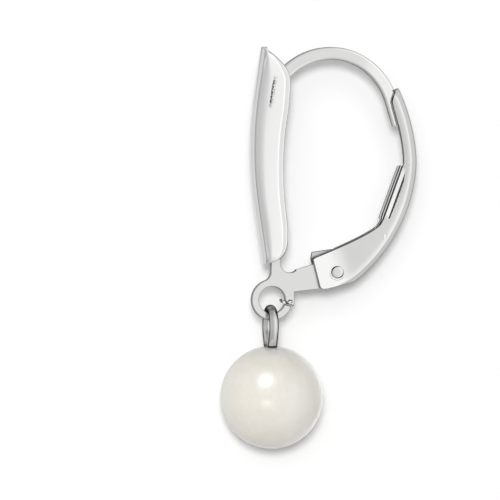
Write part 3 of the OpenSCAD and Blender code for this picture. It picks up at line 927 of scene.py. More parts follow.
@dataclass(frozen=True)
class Nacre(Finish):
    """Creamy white nacre with a clear skin and faint growth clouds, and a drill hole painted near black as
    shade.
    """

    centre: Point
    radius: float
    drill: float
    tone: Triple = (0.72, 0.69, 0.63)
    pale: Triple = (0.75, 0.73, 0.69)
    bright: Triple = (0.86, 0.84, 0.79)
    # The colour painted in the drilled hole, as shade.
    hole: Triple = (0.02, 0.018, 0.012)

    def shader(self, t: Nodes) -> Sock:
        """Draws the finish and returns its shader."""
        at = t.place()
        cloud = t.noise(at, 0.28, 3.0)
        fine = t.noise(at, 2.2, 4.0)
        across = at.y - self.centre[0]
        off = (at.x * at.x + across * across) ** 0.5
        outside = off.step(self.drill * 0.96, self.drill * 1.06)
        top = at.z.step(self.centre[1] + self.radius * 0.9, self.centre[1] + self.radius * 0.95)
        nacre = t.blend(cloud.step(0.35, 0.68), rgb(*self.tone), rgb(*self.pale))
        nacre = t.blend(fine.step(0.45, 0.7, 0.0, 0.15), nacre, rgb(*self.bright))
        return t.node("ShaderNodeBsdfPrincipled", {}, {
            "Base Color": t.blend((1.0 - outside) * top, nacre, rgb(*self.hole)),
            "Roughness": 0.34 + fine * 0.08, "IOR": 1.55,
            "Coat Weight": 0.7, "Coat Roughness": 0.2, "Coat IOR": 1.5,
            "Specular IOR Level": 0.45, "Subsurface Weight": 0.9, "Subsurface Scale": 2.5 * MM,
            "Subsurface Radius": (1.0, 0.95, 0.85),
            "Normal": t.bump(cloud * 0.7 + fine * 0.3, 0.12, 0.02)})


@dataclass(frozen=True)
class PaleGround(Finish):
    """The plain pale sheet that the earring lies before, clear from behind."""

    tone: float = 0.93

    def shader(self, t: Nodes) -> Sock:
        """Draws the finish and returns its shader."""
        back = t.node("ShaderNodeNewGeometry", out="Backfacing")
        paper = t.node("ShaderNodeBsdfDiffuse", {}, {"Color": grey(self.tone)})
        return t.node("ShaderNodeMixShader", {}, {0: back, 1: paper, 2: t.node("ShaderNodeBsdfTransparent")})


# Geometry nodes


class Profile(Enum):
    """The cross-section of a swept wire."""

    ROUND = "round"
    BAR = "bar"


@dataclass
class SweptWire:
    """A wire made by Geometry Nodes along a path that is drawn as a row of edges."""

    name: str
    path: list[Sequence[float]]
    scales: list[float]
    profile: Profile
    width: float
    thickness: float
    corner: float = 0.05
    corner_points: int = 4
    sides: int = 20

    def build(self, material: bpy.types.Material) -> bpy.types.Object:
        """Sweeps the profile and returns a plain mesh object.

        Args:
            material: the finish that the tree sets.

        Returns:
            The object, with no modifier left on it.
        """
        mesh = bpy.data.meshes.new(self.name + "_path")
        edges = [(i, i + 1) for i in range(len(self.path) - 1)]
        mesh.from_pydata([tuple(c * MM for c in p) for p in self.path], edges, [])
        mesh.attributes.new("wire_scale", "FLOAT", "POINT").data.foreach_set("value", self.scales)
        obj = linked(self.name + "_path", mesh)
        mod = obj.modifiers.new("sweep", "NODES")
        mod.node_group = self._tree(material)
        sizes = {"Width": self.width, "Thickness": self.thickness, "Corner": self.corner}
        for item in mod.node_group.interface.items_tree:
            if item.name in sizes:
                mod[item.identifier] = sizes[item.name] * MM
        made = bpy.data.meshes.new_from_object(obj.evaluated_get(bpy.context.evaluated_depsgraph_get()))
        bpy.data.objects.remove(obj)
        made.name = self.name
        return finish_mesh(self.name, made, 40)

    def _tree(self, material: bpy.types.Material) -> bpy.types.NodeTree:
        """Builds the node tree: path to curve, profile, sweep, realize and material."""
        tree = bpy.data.node_groups.new(self.name + "_tree", "GeometryNodeTree")
        tree.interface.new_socket("Geometry", in_out="INPUT", socket_type="NodeSocketGeometry")
        for label in ("Width", "Thickness", "Corner"):
            tree.interface.new_socket(label, in_out="INPUT", socket_type="NodeSocketFloat")
        tree.interface.new_socket("Geometry", in_out="OUTPUT", socket_type="NodeSocketGeometry")
        g = Nodes(tree)
        outputs = g.node("NodeGroupInput").socket.node.outputs
        source, width, thickness, corner = (Sock(g, part) for part in outputs[:4])
        curve = g.node("GeometryNodeMeshToCurve", {}, {"Mesh": source})
        scale = g.node("GeometryNodeInputNamedAttribute", {"data_type": "FLOAT"}, {"Name": "wire_scale"})
        curve = g.node("GeometryNodeSetCurveRadius", {}, {"Curve": curve, "Radius": scale})
        if self.profile is Profile.ROUND:
            circle = g.node("GeometryNodeCurvePrimitiveCircle", {"mode": "RADIUS"},
                            {"Resolution": self.sides, "Radius": 0.5})
            oval = g.node("ShaderNodeCombineXYZ", {}, {0: width, 1: thickness, 2: 1.0})
            ring = g.node("GeometryNodeTransform", {}, {"Geometry": circle, "Scale": oval})
        else:
            flat = g.node("GeometryNodeCurvePrimitiveQuadrilateral", {"mode": "RECTANGLE"},
                          {"Width": width, "Height": thickness})
            ring = g.node("GeometryNodeFilletCurve", {"mode": "POLY"},
                          {"Curve": flat, "Radius": corner, "Count": self.corner_points})
        swept = g.node("GeometryNodeCurveToMesh", {},
                       {"Curve": curve, "Profile Curve": ring, "Fill Caps": True})
        whole = g.node("GeometryNodeRealizeInstances", {}, {"Geometry": swept})
        dressed = g.node("GeometryNodeSetMaterial", {}, {"Geometry": whole, "Material": material})
        g.node("NodeGroupOutput", {}, {0: dressed})
        return tree


def dress(obj: bpy.types.Object, material: bpy.types.Material, body: str, slot: str, *nodes: str) -> None:
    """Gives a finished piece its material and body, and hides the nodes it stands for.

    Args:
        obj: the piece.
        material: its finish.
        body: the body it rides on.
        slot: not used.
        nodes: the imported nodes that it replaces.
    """
    obj.data.materials.clear()
    obj.data.materials.append(material)
    for f in obj.data.polygons:
        f.material_index = 0
    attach(obj, body)
    if nodes:
        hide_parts(*nodes)
    LOG.info("%s: %d faces on %s", obj.name, len(obj.data.polygons), body)


# The frame's pieces


@dataclass
class FrontBar:
    """The formed front bar: a shell with a crowned face, bulged walls and a pressed groove."""

    lay: Layout
    edge: float = 0.1
    crease: float = 65.0
    side_bulge: float = 0.15
    end_bulge: float = 0.05
    crest: float = 0.34
    tuck: float = 0.09
    facet: float = 0.35
    facet_turn: float = 26.0
    facet_rooms: Point = (0.7, 1.8)
    facet_least: Point = (0.05, 0.13)
    facet_share: float = 0.35
    end_loss: float = 0.75
    short_rooms: Point = (1.0, 1.9)
    lip: float = 0.05
    rim: float = 0.24
    rim_room: float = 0.8
    rim_deep: Point = (0.16, 0.3)
    # Painted edge shade, which also roughens the gold, on the front edge, the facet and the turned rim.
    edge_shade_and_dull: float = 0.28
    facet_shade_and_dull: float = 0.06
    rim_shade_and_dull: Point = (0.2, 0.3)
    shell_share: float = 0.55
    shell_least: float = 0.06
    corners: dict[str, float] = field(default_factory=lambda: {
        "top_far": 1.0, "top_near": 0.55, "foot_far": 0.95, "foot_near": 0.7})
    back_from: float = 2.4
    back_until: float = 2.2
    back_step: float = 0.9
    shoulder_depth: float = 0.06
    shoulder_slope: float = 43.0
    shoulder_round: float = 1.77
    toe_place: Point = (0.2, 0.12)
    toe_slope: float = 19.0
    toe_length: float = 0.62
    toe_round: float = 0.15
    toe_chamfer: float = 0.15
    foot_slope: float = 45.0
    foot_round: float = 1.5
    groove_length: float = 3.9
    groove_width: float = 0.48
    groove_depth: float = 0.26
    groove_offset: float = 0.31
    columns: int = 110
    middle_rows: int = 150
    corner_rows: int = 26
    least_room: float = 0.09
    wall_steps: int = 24

    def __post_init__(self) -> None:
        """Works out the insets and the side view of the walls' free edge."""
        self.start = self.edge * math.sin(math.radians(self.crease))
        self.side_inset = self.start + self.side_bulge
        self.end_inset = self.start + self.end_bulge
        self._side = self.side_outline()

    def side_outline(self) -> list[Vector]:
        """The side walls' free edge, from the top of the bar down to its foot."""
        lay, top, foot = self.lay, self.lay.bar_top, self.lay.bar_foot
        backs, h = [], self.back_from
        while h <= lay.bar_height - self.back_until:
            deep = lay.bar_depth * table(lay.depth_rows, h / lay.bar_height)
            backs.append(Vector((lay.face(h) + deep, top - h)))
            h += self.back_step
        down = Vector((0.0, 1.0))
        shoulder = Vector((lay.face(0) + self.shoulder_depth, top))
        top_meet = meet(shoulder, polar(1, -self.shoulder_slope), backs[0], down)
        toe = Vector((lay.face(lay.bar_height) + self.toe_place[0], foot + self.toe_place[1]))
        toe_turn = toe + polar(self.toe_length, self.toe_slope)
        foot_meet = meet(toe_turn, polar(1, self.foot_slope), backs[-1], down)
        ahead = shoulder.x - 2
        rows = [(ahead, top, 0.0), (*shoulder, 0.0), (*top_meet, self.shoulder_round)]
        rows += [(*p, 0.0) for p in backs]
        rows += [(*foot_meet, self.foot_round), (*toe_turn, self.toe_round), (*toe, 0.0),
                 (toe.x - self.toe_chamfer, foot, 0.0), (ahead, foot, 0.0)]
        return smooth_run(round_outline(rows)[1:-1], 3)

    def back_edge(self, z: float) -> float:
        """The walls' free edge at height z."""
        pts = self._side
        if z >= pts[0].y:
            return pts[0].x
        for a, b in zip(pts, pts[1:]):
            if b.y <= z:
                return mix(a.x, b.x, (a.y - z) / max(a.y - b.y, 1e-9))
        return pts[-1].x

    def half_at(self, h: float) -> float:
        """Half the front face's width at h below the top."""
        lay = self.lay
        return mix(lay.bar_top_width, lay.bar_foot_width, h / lay.bar_height) / 2 - self.side_inset

    def span(self, h: float) -> tuple[float, float]:
        """The face's left and right limits at h below the top."""
        w, out = self.half_at(h), []
        for side in ("far", "near"):
            x = w
            for end, gap in (("top", h - self.end_inset), ("foot", self.lay.bar_height - self.end_inset - h)):
                r = self.corners[f"{end}_{side}"]
                wide, tall = r - self.side_inset, r - self.end_inset
                if gap < tall:
                    x = min(x, w - wide * (1 - math.sqrt(max(1 - (1 - max(gap, 0) / tall) ** 2, 0))))
            out.append(x)
        return -out[0], out[1]

    def rows(self) -> list[float]:
        """Heights of the face's rows, close together round the corners."""
        low, high = self.end_inset, self.lay.bar_height - self.end_inset
        turn = [1 - math.cos(math.pi / 2 * i / self.corner_rows) for i in range(self.corner_rows + 1)]
        top = [low + (self.corners["top_far"] - self.end_inset) * t for t in turn]
        foot = [high - (self.corners["foot_far"] - self.end_inset) * t for t in reversed(turn)]
        n = self.middle_rows
        return top + [mix(top[-1], foot[0], i / n) for i in range(1, n)] + foot

    def groove(self, x: float, h: float) -> float:
        """Depth of the pressed groove at a place on the face."""
        t = h / self.groove_length
        if t >= 1:
            return 0.0
        wide = self.groove_width * (1 - t)
        deep = self.groove_depth * (1 - t) ** 0.8
        left, right = self.groove_offset - wide, self.groove_offset
        floor = right - wide * 0.3
        if x <= left or x >= right:
            return 0.0
        return deep * (x - left) / (floor - left) if x < floor else deep * (right - x) / (right - floor)

    def face_at(self, x: float, h: float) -> float:
        """The face's y at a place, crown and groove included."""
        u = x / self.half_at(h)
        return self.lay.face(h) + self.lay.bar_crown * min(u * u, 1.0) + self.groove(x, h)

    def wall_sections(self, room: float, end_share: float) -> list[tuple[float, float, float, float]]:
        """One wall's section from the front edge to the inside, as side and end offsets, depth and painted
        edge shade.

        Args:
            room: the wall's depth at that place.
            end_share: 0 on a side wall, 1 on an end wall, where the strip is narrower.

        Returns:
            Rows of (side offset, end offset, depth, painted edge shade).
        """
        rows = []
        for i in range(1, 6):
            a = math.radians(self.crease * i / 5)
            out, deep = self.edge * math.sin(a), min(self.edge, room * EDGE_ROOM) * (1 - math.cos(a))
            rows.append((out, out, deep, self.edge_shade_and_dull))
        deep = rows[-1][2]
        short = 1 - smooth(room, *self.short_rooms)
        most = self.facet * (1 - self.end_loss * end_share) * smooth(room, *self.facet_rooms)
        facet = min(most + mix(*self.facet_least, short), room * self.facet_share)
        turn = mix(min(self.lip, facet * 0.25), min(self.lip * 2, facet * 0.75), short)
        inward = math.tan(math.radians(self.facet_turn))
        for i in range(1, self.wall_steps + 1):
            u = i / self.wall_steps
            swell = 1 - (1 - min(u, self.crest) / self.crest) ** 2
            fall = (max(u - self.crest, 0) / (1 - self.crest)) ** 1.3
            side = self.start + self.side_bulge * swell - self.tuck * fall
            end = self.start + self.end_bulge * swell - 0.3 * self.tuck * fall
            rows.append((side, end, mix(deep, room - facet, u), 0.0))
        for i in range(1, 5):
            t = i / 4 * (facet - turn)
            rows.append((side - t * inward, end - t * inward * 0.6, room - facet + t, self.facet_shade_and_dull))
        side, end, deep, _ = rows[-1]
        # The turned lip is painted darker as shade, fully where the wall is short.
        for i in range(1, 4):
            a = math.radians(90 * i / 3)
            sunk = self.lip * (1 - math.cos(a))
            rows.append((side - sunk, end - sunk, deep + turn * math.sin(a), mix(0.4 + 0.2 * i, 1.0, short)))
        side, end, deep, _ = rows[-1]
        reach = self.rim * min(1.0, room / self.rim_room)
        shell = self.shell(room)
        for share in (0.4, 1.0):
            rows.append((side - reach * share, end - reach * share, deep, self.rim_shade_and_dull[0]))
        rows.append((side - reach, end - reach, max(deep - self.rim_deep[0], shell * 1.02), self.rim_shade_and_dull[1]))
        inside = (self.side_inset - self.lay.bar_wall, self.end_inset - self.lay.bar_wall)
        floor = max(deep - self.rim_deep[1], shell * 1.01)
        rows += [(*inside, mix(floor, shell, t), 0.0) for t in (0.0, 0.4, 0.8)]
        return rows

    def shell(self, room: float) -> float:
        """Thickness of the front sheet where the wall behind it has that depth."""
        return min(self.lay.bar_wall, max(room * self.shell_share, self.shell_least))

    def build(self) -> bpy.types.Object:
        """Builds the closed shell."""
        lay, sketch = self.lay, Sketch()
        outer, inner, rows = [], [], []
        heights = self.rows()
        middle = (heights[0] + heights[-1]) / 2
        shrink = 1 - (lay.bar_wall - self.end_inset) / (heights[-1] - middle)
        for h in heights:
            lo, hi = self.span(h)
            row = [mix(lo, hi, i / self.columns) for i in range(self.columns + 1)]
            outer.append(sketch.ring([(x, self.face_at(x, h), lay.bar_top - h) for x in row]))
            rows.append([(x, h) for x in row])
            low = middle + (h - middle) * shrink
            z = lay.bar_top - low
            back = self.back_edge(z)
            faces = [self.face_at(x, low) for x in row]
            inner.append([(x, y + self.shell(back - y), z) for x, y in zip(row, faces)])
        last = len(outer) - 1
        around = [(0, j) for j in range(self.columns)] + [(i, self.columns) for i in range(last)]
        around += [(last, j) for j in range(self.columns, 0, -1)] + [(i, 0) for i in range(last, 0, -1)]
        flat = [Vector((rows[i][j][0], lay.bar_top - rows[i][j][1])) for i, j in around]
        front = [self.face_at(*rows[i][j]) for i, j in around]
        n = len(flat)
        normals, sections = [], []
        for k in range(n):
            d = (flat[(k + 3) % n] - flat[(k - 3) % n]).normalized()
            normals.append(Vector((-d.y, d.x)))
            z = min(max(flat[k].y + normals[k].y * self.end_inset, lay.bar_foot), lay.bar_top)
            room = max(self.back_edge(z) - front[k], self.least_room)
            sections.append(self.wall_sections(room, abs(normals[k].y)))
        rings = [[outer[i][j] for i, j in around]]
        for step in zip(*sections):
            ring = [(p.x + way.x * side, y + deep, p.y + way.y * end)
                    for p, way, y, (side, end, deep, _) in zip(flat, normals, front, step)]
            rings.append(sketch.ring(ring, [shade_and_dull for _, _, _, shade_and_dull in step]))
        inside = [sketch.ring(row) for row in inner]
        rings.append([inside[i][j] for i, j in around])
        for a, b in zip(rings, rings[1:]):
            sketch.band(a, b)
        sketch.grid(outer)
        sketch.grid(inside, flip=True)
        return sketch.build("front_bar", 38)

    def dress(self, material: bpy.types.Material) -> None:
        """Builds and dresses the bar."""
        dress(self.build(), material, "frame", "white_gold", "frame")


def smooth_run(pts: Sequence[Vector], times: int, n: int = 160) -> list[Vector]:
    """A row of points in n even steps, softened that many times, with its ends kept."""
    length = [0.0]
    for a, b in zip(pts, pts[1:]):
        length.append(length[-1] + (b - a).length)
    out, k = [], 0
    for i in range(n + 1):
        s = length[-1] * i / n
        while k < len(pts) - 2 and length[k + 1] < s:
            k += 1
        t = (s - length[k]) / max(length[k + 1] - length[k], 1e-9)
        out.append(pts[k].lerp(pts[k + 1], min(max(t, 0), 1)))
    for _ in range(times):
        out = [out[0]] + [(out[i - 1] + out[i] * 2 + out[i + 1]) / 4 for i in range(1, n)] + [out[-1]]
    return out


@dataclass
class EarWire:
    """The flat curved wire from the bar over the ear to the tip in the lever."""

    lay: Layout
    corner: float = 0.15
    step: float = 1.5
    buried: float = 8.0
    tip_shares: tuple[float, ...] = (0.3, 0.6, 0.9, 0.955, 0.985, 1.0)
    tip_scales: tuple[float, ...] = (0.985, 0.94, 0.85)
    # Painted edge shade on the inner side, the outer side, and where the lever covers it.
    inner_shade: float = 0.55
    outer_shade: float = 0.95
    covered_shade: float = 0.1
    shade_span: Point = (0.12, 0.04)

    def path(self) -> list[Sequence[float]]:
        """The wire's middle line."""
        lay = self.lay
        turn = lay.front_turn + self.buried
        entry = lay.crown_centre + polar(lay.crown_radius, 90 + turn)
        heading = 180 + turn
        inside = lay.face(lay.bar_top - entry.y) + lay.bar_wall
        stub = (entry.x - inside + lay.bar_wall / 2) / -math.cos(math.radians(heading))
        pts = [entry + polar(stub * k / 3, heading) for k in (3, 2, 1)]
        n = round((turn + lay.back_turn) / self.step)
        pts += arc(lay.crown_centre, lay.crown_radius, 90 + turn, lay.back_start, n)
        m = round(lay.tip_turn / self.step)
        pts += arc(lay.back_centre, lay.back_radius, lay.back_start, lay.tip_angle, m)[1:]
        pts += [lay.tip_start + polar(lay.tip_length * t, lay.tip_heading) for t in self.tip_shares]
        return [(0.0, p.x, p.y) for p in pts]

    def dress(self, material: bpy.types.Material) -> None:
        """Builds and dresses the wire, with painted shade as a dark line along its narrow sides."""
        lay, path = self.lay, self.path()
        scales = [1.0] * (len(path) - len(self.tip_scales)) + list(self.tip_scales)
        obj = SweptWire("ear_wire", path, scales, Profile.BAR, lay.plate_thickness, lay.wire_width,
                        self.corner).build(material)
        lo, hi = (lay.plate_thickness / 2 - inset for inset in self.shade_span)
        edge_shades = []
        for v in obj.data.vertices:
            above = Vector((v.co.y / MM, v.co.z / MM)) - lay.crown_centre
            weight = self.inner_shade
            if above.length > lay.crown_radius:
                weight = self.outer_shade if v.co.z / MM > lay.lever_top.y else self.covered_shade
            edge_shades.append(weight * (1 - smooth(abs(v.co.x) / MM, lo, hi)))
        store_edge_shade(obj.data, edge_shades)
        flatten_sides(obj)
        dress(obj, material, "frame", "white_gold", "frame")


@dataclass
class LowerPlate:
    """The flat lower plate: neck, split drop ring and the arm with its round tail."""

    lay: Layout
    edge: float = 0.06
    hollow: float = 0.585
    hollow_rise: float = 0.9
    hollow_run: float = 0.34
    split: float = 0.08
    split_angle: float = 17.0
    lug: float = 0.12
    lug_corner: Point = (0.03, 0.1)
    arm_above: float = 0.97
    arm_below: float = 0.95
    top_slope: float = 17.2
    foot_slope: float = 6.2
    shoulder_turn: float = 80.0
    tail_end: float = 40.0
    tail_back: float = 0.2
    tang: float = 2.2
    bore: float = 0.31
    # Painted shade under the bar's foot, in the split and along the other edges.
    shade_spot: Point = (-2.32, -13.33)
    shade_spot_half: Point = (0.24, 0.2)
    edge_shade_and_dull: float = 0.62
    split_shade_half: float = 0.08
    split_shade_from: float = 0.5
    worn: float = 0.05
    worn_span: Point = (12.0, 32.0)
    burr: Rows = ((0.46, -0.03, 0.02), (0.58, -0.01, 0.06), (0.72, -0.10, 0.06), (0.86, -0.20, 0.05),
                   (1.0, -0.20, 0.07), (1.12, -0.12, 0.08), (1.24, -0.07, 0.06), (1.3, -0.1, 0.02))
    second_burr: Rows = ((0.5, -0.05, 0.02), (0.62, -0.13, 0.05), (0.8, -0.16, 0.05), (1.0, -0.13, 0.05),
                          (1.15, -0.2, 0.06), (1.3, -0.19, 0.02))
    burr_shape: Point = (2.0, 1.1)
    burr_twist: float = 420.0
    burr_sides: int = 12

    def edge_height(self, y: float, rise: float, slope: float) -> float:
        """Height at y of an edge of the arm that passes the pivot at that rise and slope."""
        return self.lay.pivot.y + rise + (y - self.lay.pivot.x) * math.tan(math.radians(slope))

    def arm_top(self, y: float) -> float:
        """Height of the arm's top edge."""
        return self.edge_height(y, self.arm_above, self.top_slope)

    def arm_foot(self, y: float) -> float:
        """Height of the arm's lower edge."""
        return self.edge_height(y, -self.arm_below, self.foot_slope)

    def outline(self) -> list[Vector]:
        """The plate's one outline; the split lets it run round the ring's hole too."""
        lay = self.lay
        ring, ro, ri = lay.ring, lay.ring_outer, lay.ring_hole / 2
        front, back = lay.neck_middle - lay.neck_width / 2, lay.neck_middle + lay.neck_width / 2
        top = lay.bar_foot + self.tang
        left = Vector((front - self.hollow, 0))
        rise = math.sqrt((ro + self.hollow) ** 2 - (left.x - ring.x) ** 2)
        left.y = ring.y + rise
        down = math.degrees(math.atan2(ring.y - left.y, ring.x - left.x))
        pts = [Vector((front, top))]
        pts += arc(left, self.hollow, 0, down, 14)
        half_out = math.degrees(math.asin(self.split / 2 / ro))
        half_in = math.degrees(math.asin(self.split / 2 / ri))
        cut = -self.split_angle
        pts += arc(ring, ro, down + 180, 360 + cut - half_out, 60)
        for i in range(73):
            a = mix(360 + cut - half_in, cut + half_in, i / 72)
            pts.append(ring + polar(ri + self.worn * (1 - smooth(abs(a - 270), *self.worn_span)), a))
        lug = ring.x + ro + self.lug
        way = polar(1, cut)
        base = ring + turned(way, 90) * (self.split / 2)
        right = base + way * ((lug - self.lug_corner[0] - base.x) / way.x)
        pts += [right, Vector((lug, right.y + self.lug_corner[1])), Vector((lug, self.arm_foot(lug)))]
        turn = self.web_angle() - self.shoulder_turn
        reach = self.arm_below / -math.sin(math.radians(turn)) / (
            1 - math.tan(math.radians(self.foot_slope)) / math.tan(math.radians(turn)))
        pts += [lay.pivot + polar(1, turn) * reach]
        pts += arc(lay.pivot, lay.tail_radius, turn, self.tail_end, 40)
        y = back + self.hollow
        centre = Vector((y, self.arm_top(y) + self.hollow * self.hollow_rise))
        for y in (lay.pivot.x - self.tail_back, centre.x + self.hollow_run):
            pts.append(Vector((y, self.arm_top(y))))
        around = ((a, centre + polar(self.hollow, a)) for a in range(0, -180, -1))
        start = next(a for a, p in around if p.y < self.arm_top(p.x))
        pts += arc(centre, self.hollow, start, -180, 22)
        return pts + [Vector((back, top))]

    def web_angle(self) -> float:
        """The angle from the pivot to the lower end of the lever's inner back."""
        lay = self.lay
        end = lay.heel + lay.sole_way * lay.web_reach - lay.pivot
        return math.degrees(math.atan2(end.y, end.x))

    def dress(self, material: bpy.types.Material, torn: bpy.types.Material) -> None:
        """Builds and dresses the plate, and the burr in its own finish."""
        lay = self.lay
        half = lay.plate_thickness / 2
        cut = polar(1, -self.split_angle)

        def shade_and_dull(p: Vector, loop: int) -> float:
            """Painted shade: dark in the split and under the bar's foot, a lighter line elsewhere."""
            away = p - lay.ring
            in_shade_spot = all(abs(c - n) < h for c, n, h in zip(p, self.shade_spot, self.shade_spot_half))
            split = abs(cross(cut, away)) < self.split_shade_half and away.dot(cut) > self.split_shade_from
            return 1.0 if in_shade_spot or split else self.edge_shade_and_dull

        bore = arc(lay.pivot, self.bore, 0, 360, 32)
        obj = plate("lower_plate", [self.outline(), bore], -half, half, self.edge, shade_and_dull, 0.1)
        dress(obj, material, "frame", "white_gold", "frame")
        strands = [self.strand(path, k * 180.0) for k, path in enumerate((self.burr, self.second_burr))]
        dress(joined("split_burr", strands), torn, "frame", "white_gold", "frame")

    def strand(self, path: Sequence[tuple[float, float, float]], phase: float) -> bpy.types.Object:
        """One twisted strand of the burr over the split.

        Args:
            path: rows of (back, up, radius) from the ring's middle.
            phase: where its twist starts, in degrees.

        Returns:
            The strand, half sunk in the plate's face.
        """
        sketch, rings = Sketch(), []
        line = smooth_run([Vector(row[:2]) for row in path], 4)[::4]
        for i, p in enumerate(line):
            share = i / (len(line) - 1)
            at = share * (len(path) - 1)
            k = min(int(at), len(path) - 2)
            r = mix(path[k][2], path[k + 1][2], at - k)
            ahead = (line[min(i + 1, len(line) - 1)] - line[max(i - 1, 0)]).normalized()
            side = turned(ahead, 90)
            ring, edge_shades = [], []
            for j in range(self.burr_sides):
                a = math.radians(360.0 * j / self.burr_sides)
                oval = Vector((self.burr_shape[0] * r * math.cos(a), self.burr_shape[1] * r * math.sin(a)))
                flat = turned(oval, phase + share * self.burr_twist)
                place = self.lay.ring + p + side * flat.x
                ring.append((self.lay.plate_thickness / 2 + flat.y + r * 0.4, place.x, place.y))
                # Painted shade on two opposite sides of the twisted strand.
                edge_shades.append(1.0 if math.sin(a * 2) > 0.2 else 0.0)
            rings.append(sketch.ring(ring, edge_shades))
        sketch.tube(rings)
        return sketch.build("strand", 60)


# The lever's pieces


@dataclass
class Lever:
    """The folded lever: a full-round back, two cheeks, a taller far tab and slit waist lips."""

    lay: Layout
    edge: float = 0.05
    stations: int = 130
    sides: int = 26
    lap: float = 0.16
    front: Point = (1.58, 0.82)
    tab_rise: float = 0.42
    crest_place: Point = (0.07, 0.04)
    crest_run: Point = (1.4, 0.2)
    throat_row: Point = (0.702, 1.347)
    throat_place: Point = (0.22, 0.1)
    throat_slopes: Point = (22.0, 50.0)
    throat_way: Point = (-0.4, 0.9)
    slit: float = 0.108
    slit_ends: Point = (0.24, 0.16)
    slit_taper: float = 0.45
    slit_waves: Rows = ((0.008, 67), (0.006, 113))
    lip: float = 0.29
    lip_margin: float = 0.03
    lip_span: Point = (0.03, 0.98)
    lip_sunk: float = 0.02
    flush: float = 0.0015
    near_rise: float = 0.03
    far_rise: float = 0.07
    recess: float = 0.13
    lip_turn: float = 0.085
    lip_steps: int = 24
    toe_round: float = 0.3
    hole: float = 0.285
    edge_span: Point = (0.026, 0.358)
    nose: Rows = ((-0.010, 0.10), (-0.007, 0.045), (-0.002, 0.015), (0.008, 0.0))
    nose_end: float = 0.018
    # The nose's first rings carry painted edge shade.
    nose_shade_and_dull: tuple[float, ...] = (0.6, 0.3)
    least_depth: float = 0.32
    sole_rows: Rows = ((0.07, 0.0), (0.035, 1.0), (0.0, 1.0))
    web_margin: float = 0.09
    # Painted edge shade, which also roughens the gold, along the cheeks' edges, above the wire's tip, on the
    # far cheek and over the throat.
    edge_shade_and_dull: float = 0.65
    tip_shade_and_dull: float = 0.12
    far_edge_shade_and_dull: float = 0.15
    throat_shade_band: Point = (0.7, 0.02)
    throat_shade_reach: float = 1.3

    def wall(self, far: bool) -> list[list[Vector]]:
        """Outlines of one wall: its edge, then its holes.

        Args:
            far: whether it is the far wall, with the taller tab.

        Returns:
            The outer outline, the rivet's hole and the slit.
        """
        lay = self.lay
        corner = lay.pivot + Vector((-self.front[0], self.front[1]))
        hidden = self.recess if far else 0.0
        raised = Vector(self.throat_way) * (self.far_rise if far else self.near_rise)
        throat_back = lay.back_at(self.throat_row[0], lay.channel_depth * self.throat_row[1]) + raised * 0.4
        throat_front = corner + Vector(self.throat_place) + raised
        front_way, back_way = (polar(1, slope) for slope in self.throat_slopes)
        bend = meet(throat_front, front_way, throat_back, back_way)
        first, last = self.edge_span
        inner = []
        for i in range(61):
            s = first + (last - first) * (i / 60) ** 1.4
            inner.append(lay.back_at(s, lay.channel_depth * table(lay.edge_rows, s) - hidden))
        inner += [p - lay.waist_out * hidden for p in (lay.waist_top, lay.waist_foot)]
        inner += [throat_back] + [bezier(throat_back, bend, throat_front, i / 20) for i in range(1, 20)]
        flat = lay.half + self.lap / 2
        flat_end = meet(lay.heel - lay.heel_out * flat, lay.heel_way, lay.heel, lay.sole_way)
        rows = [(*throat_front, 0.0), (*corner, 0.1)]
        if far:
            crest = corner + Vector((self.crest_place[0], self.tab_rise + self.crest_place[1]))
            end = crest + Vector(self.crest_run)
            inner = [p for p in inner if p.x > end.x + 0.02 or p.y > end.y + 0.3]
            rows = [(*end, 0.0), (*crest, 0.05), (*corner, 0.0)]
        lower = round_outline([(*flat_end, 0.0), *rows, (*lay.toe, self.toe_round)], 6)[1:]
        back = [lay.back_at(i / 90, flat) for i in range(90, 2, -1)]
        return [inner + lower + [flat_end] + back, arc(lay.pivot, self.hole, 0, 360, 40), self.slit_outline()]

    def slit_outline(self) -> list[Vector]:
        """The ragged slit beside the waist's lip, wider at its middle."""
        lay = self.lay
        a, b = (p - lay.waist_way * end - lay.waist_out * self.lip
                for p, end in zip((lay.waist_top, lay.waist_foot), self.slit_ends))
        n, ragged = 60, []
        for side, shares in ((0, range(n + 1)), (1, range(n, -1, -1))):
            for t in (i / n for i in shares):
                wave = sum(size * math.sin(pace * t) for size, pace in self.slit_waves)
                width = self.slit * (1 - self.slit_taper + self.slit_taper * math.sin(math.pi * t))
                ragged.append(a.lerp(b, t) - lay.waist_out * (side * width + wave))
        return ragged

    def turned_lip(self, level: float) -> bpy.types.Object:
        """The lip beside the slit, bent a little outwards.

        Args:
            level: the near cheek's face.

        Returns:
            A thin wedge on that face.
        """
        lay, sketch, rings = self.lay, Sketch(), []
        under = level - self.lip_sunk
        for i in range(self.lip_steps + 1):
            t = i / self.lip_steps
            high = level + self.lip_turn * smooth(t, -0.02, 0.12) * (1 - smooth(t, 0.93, 1.02))
            edge = lay.waist_top.lerp(lay.waist_foot, mix(*self.lip_span, t))
            fold, brim = (edge - lay.waist_out * inset for inset in (self.lip - 0.01, self.lip_margin))
            section = [(under, *fold), (level, *fold), (high, *brim), (under, *brim)]
            rings.append(sketch.ring(section, (0.0, 0.0, 0.0, 1.0)))
        sketch.tube(rings)
        return sketch.build("turned_lip", 30)

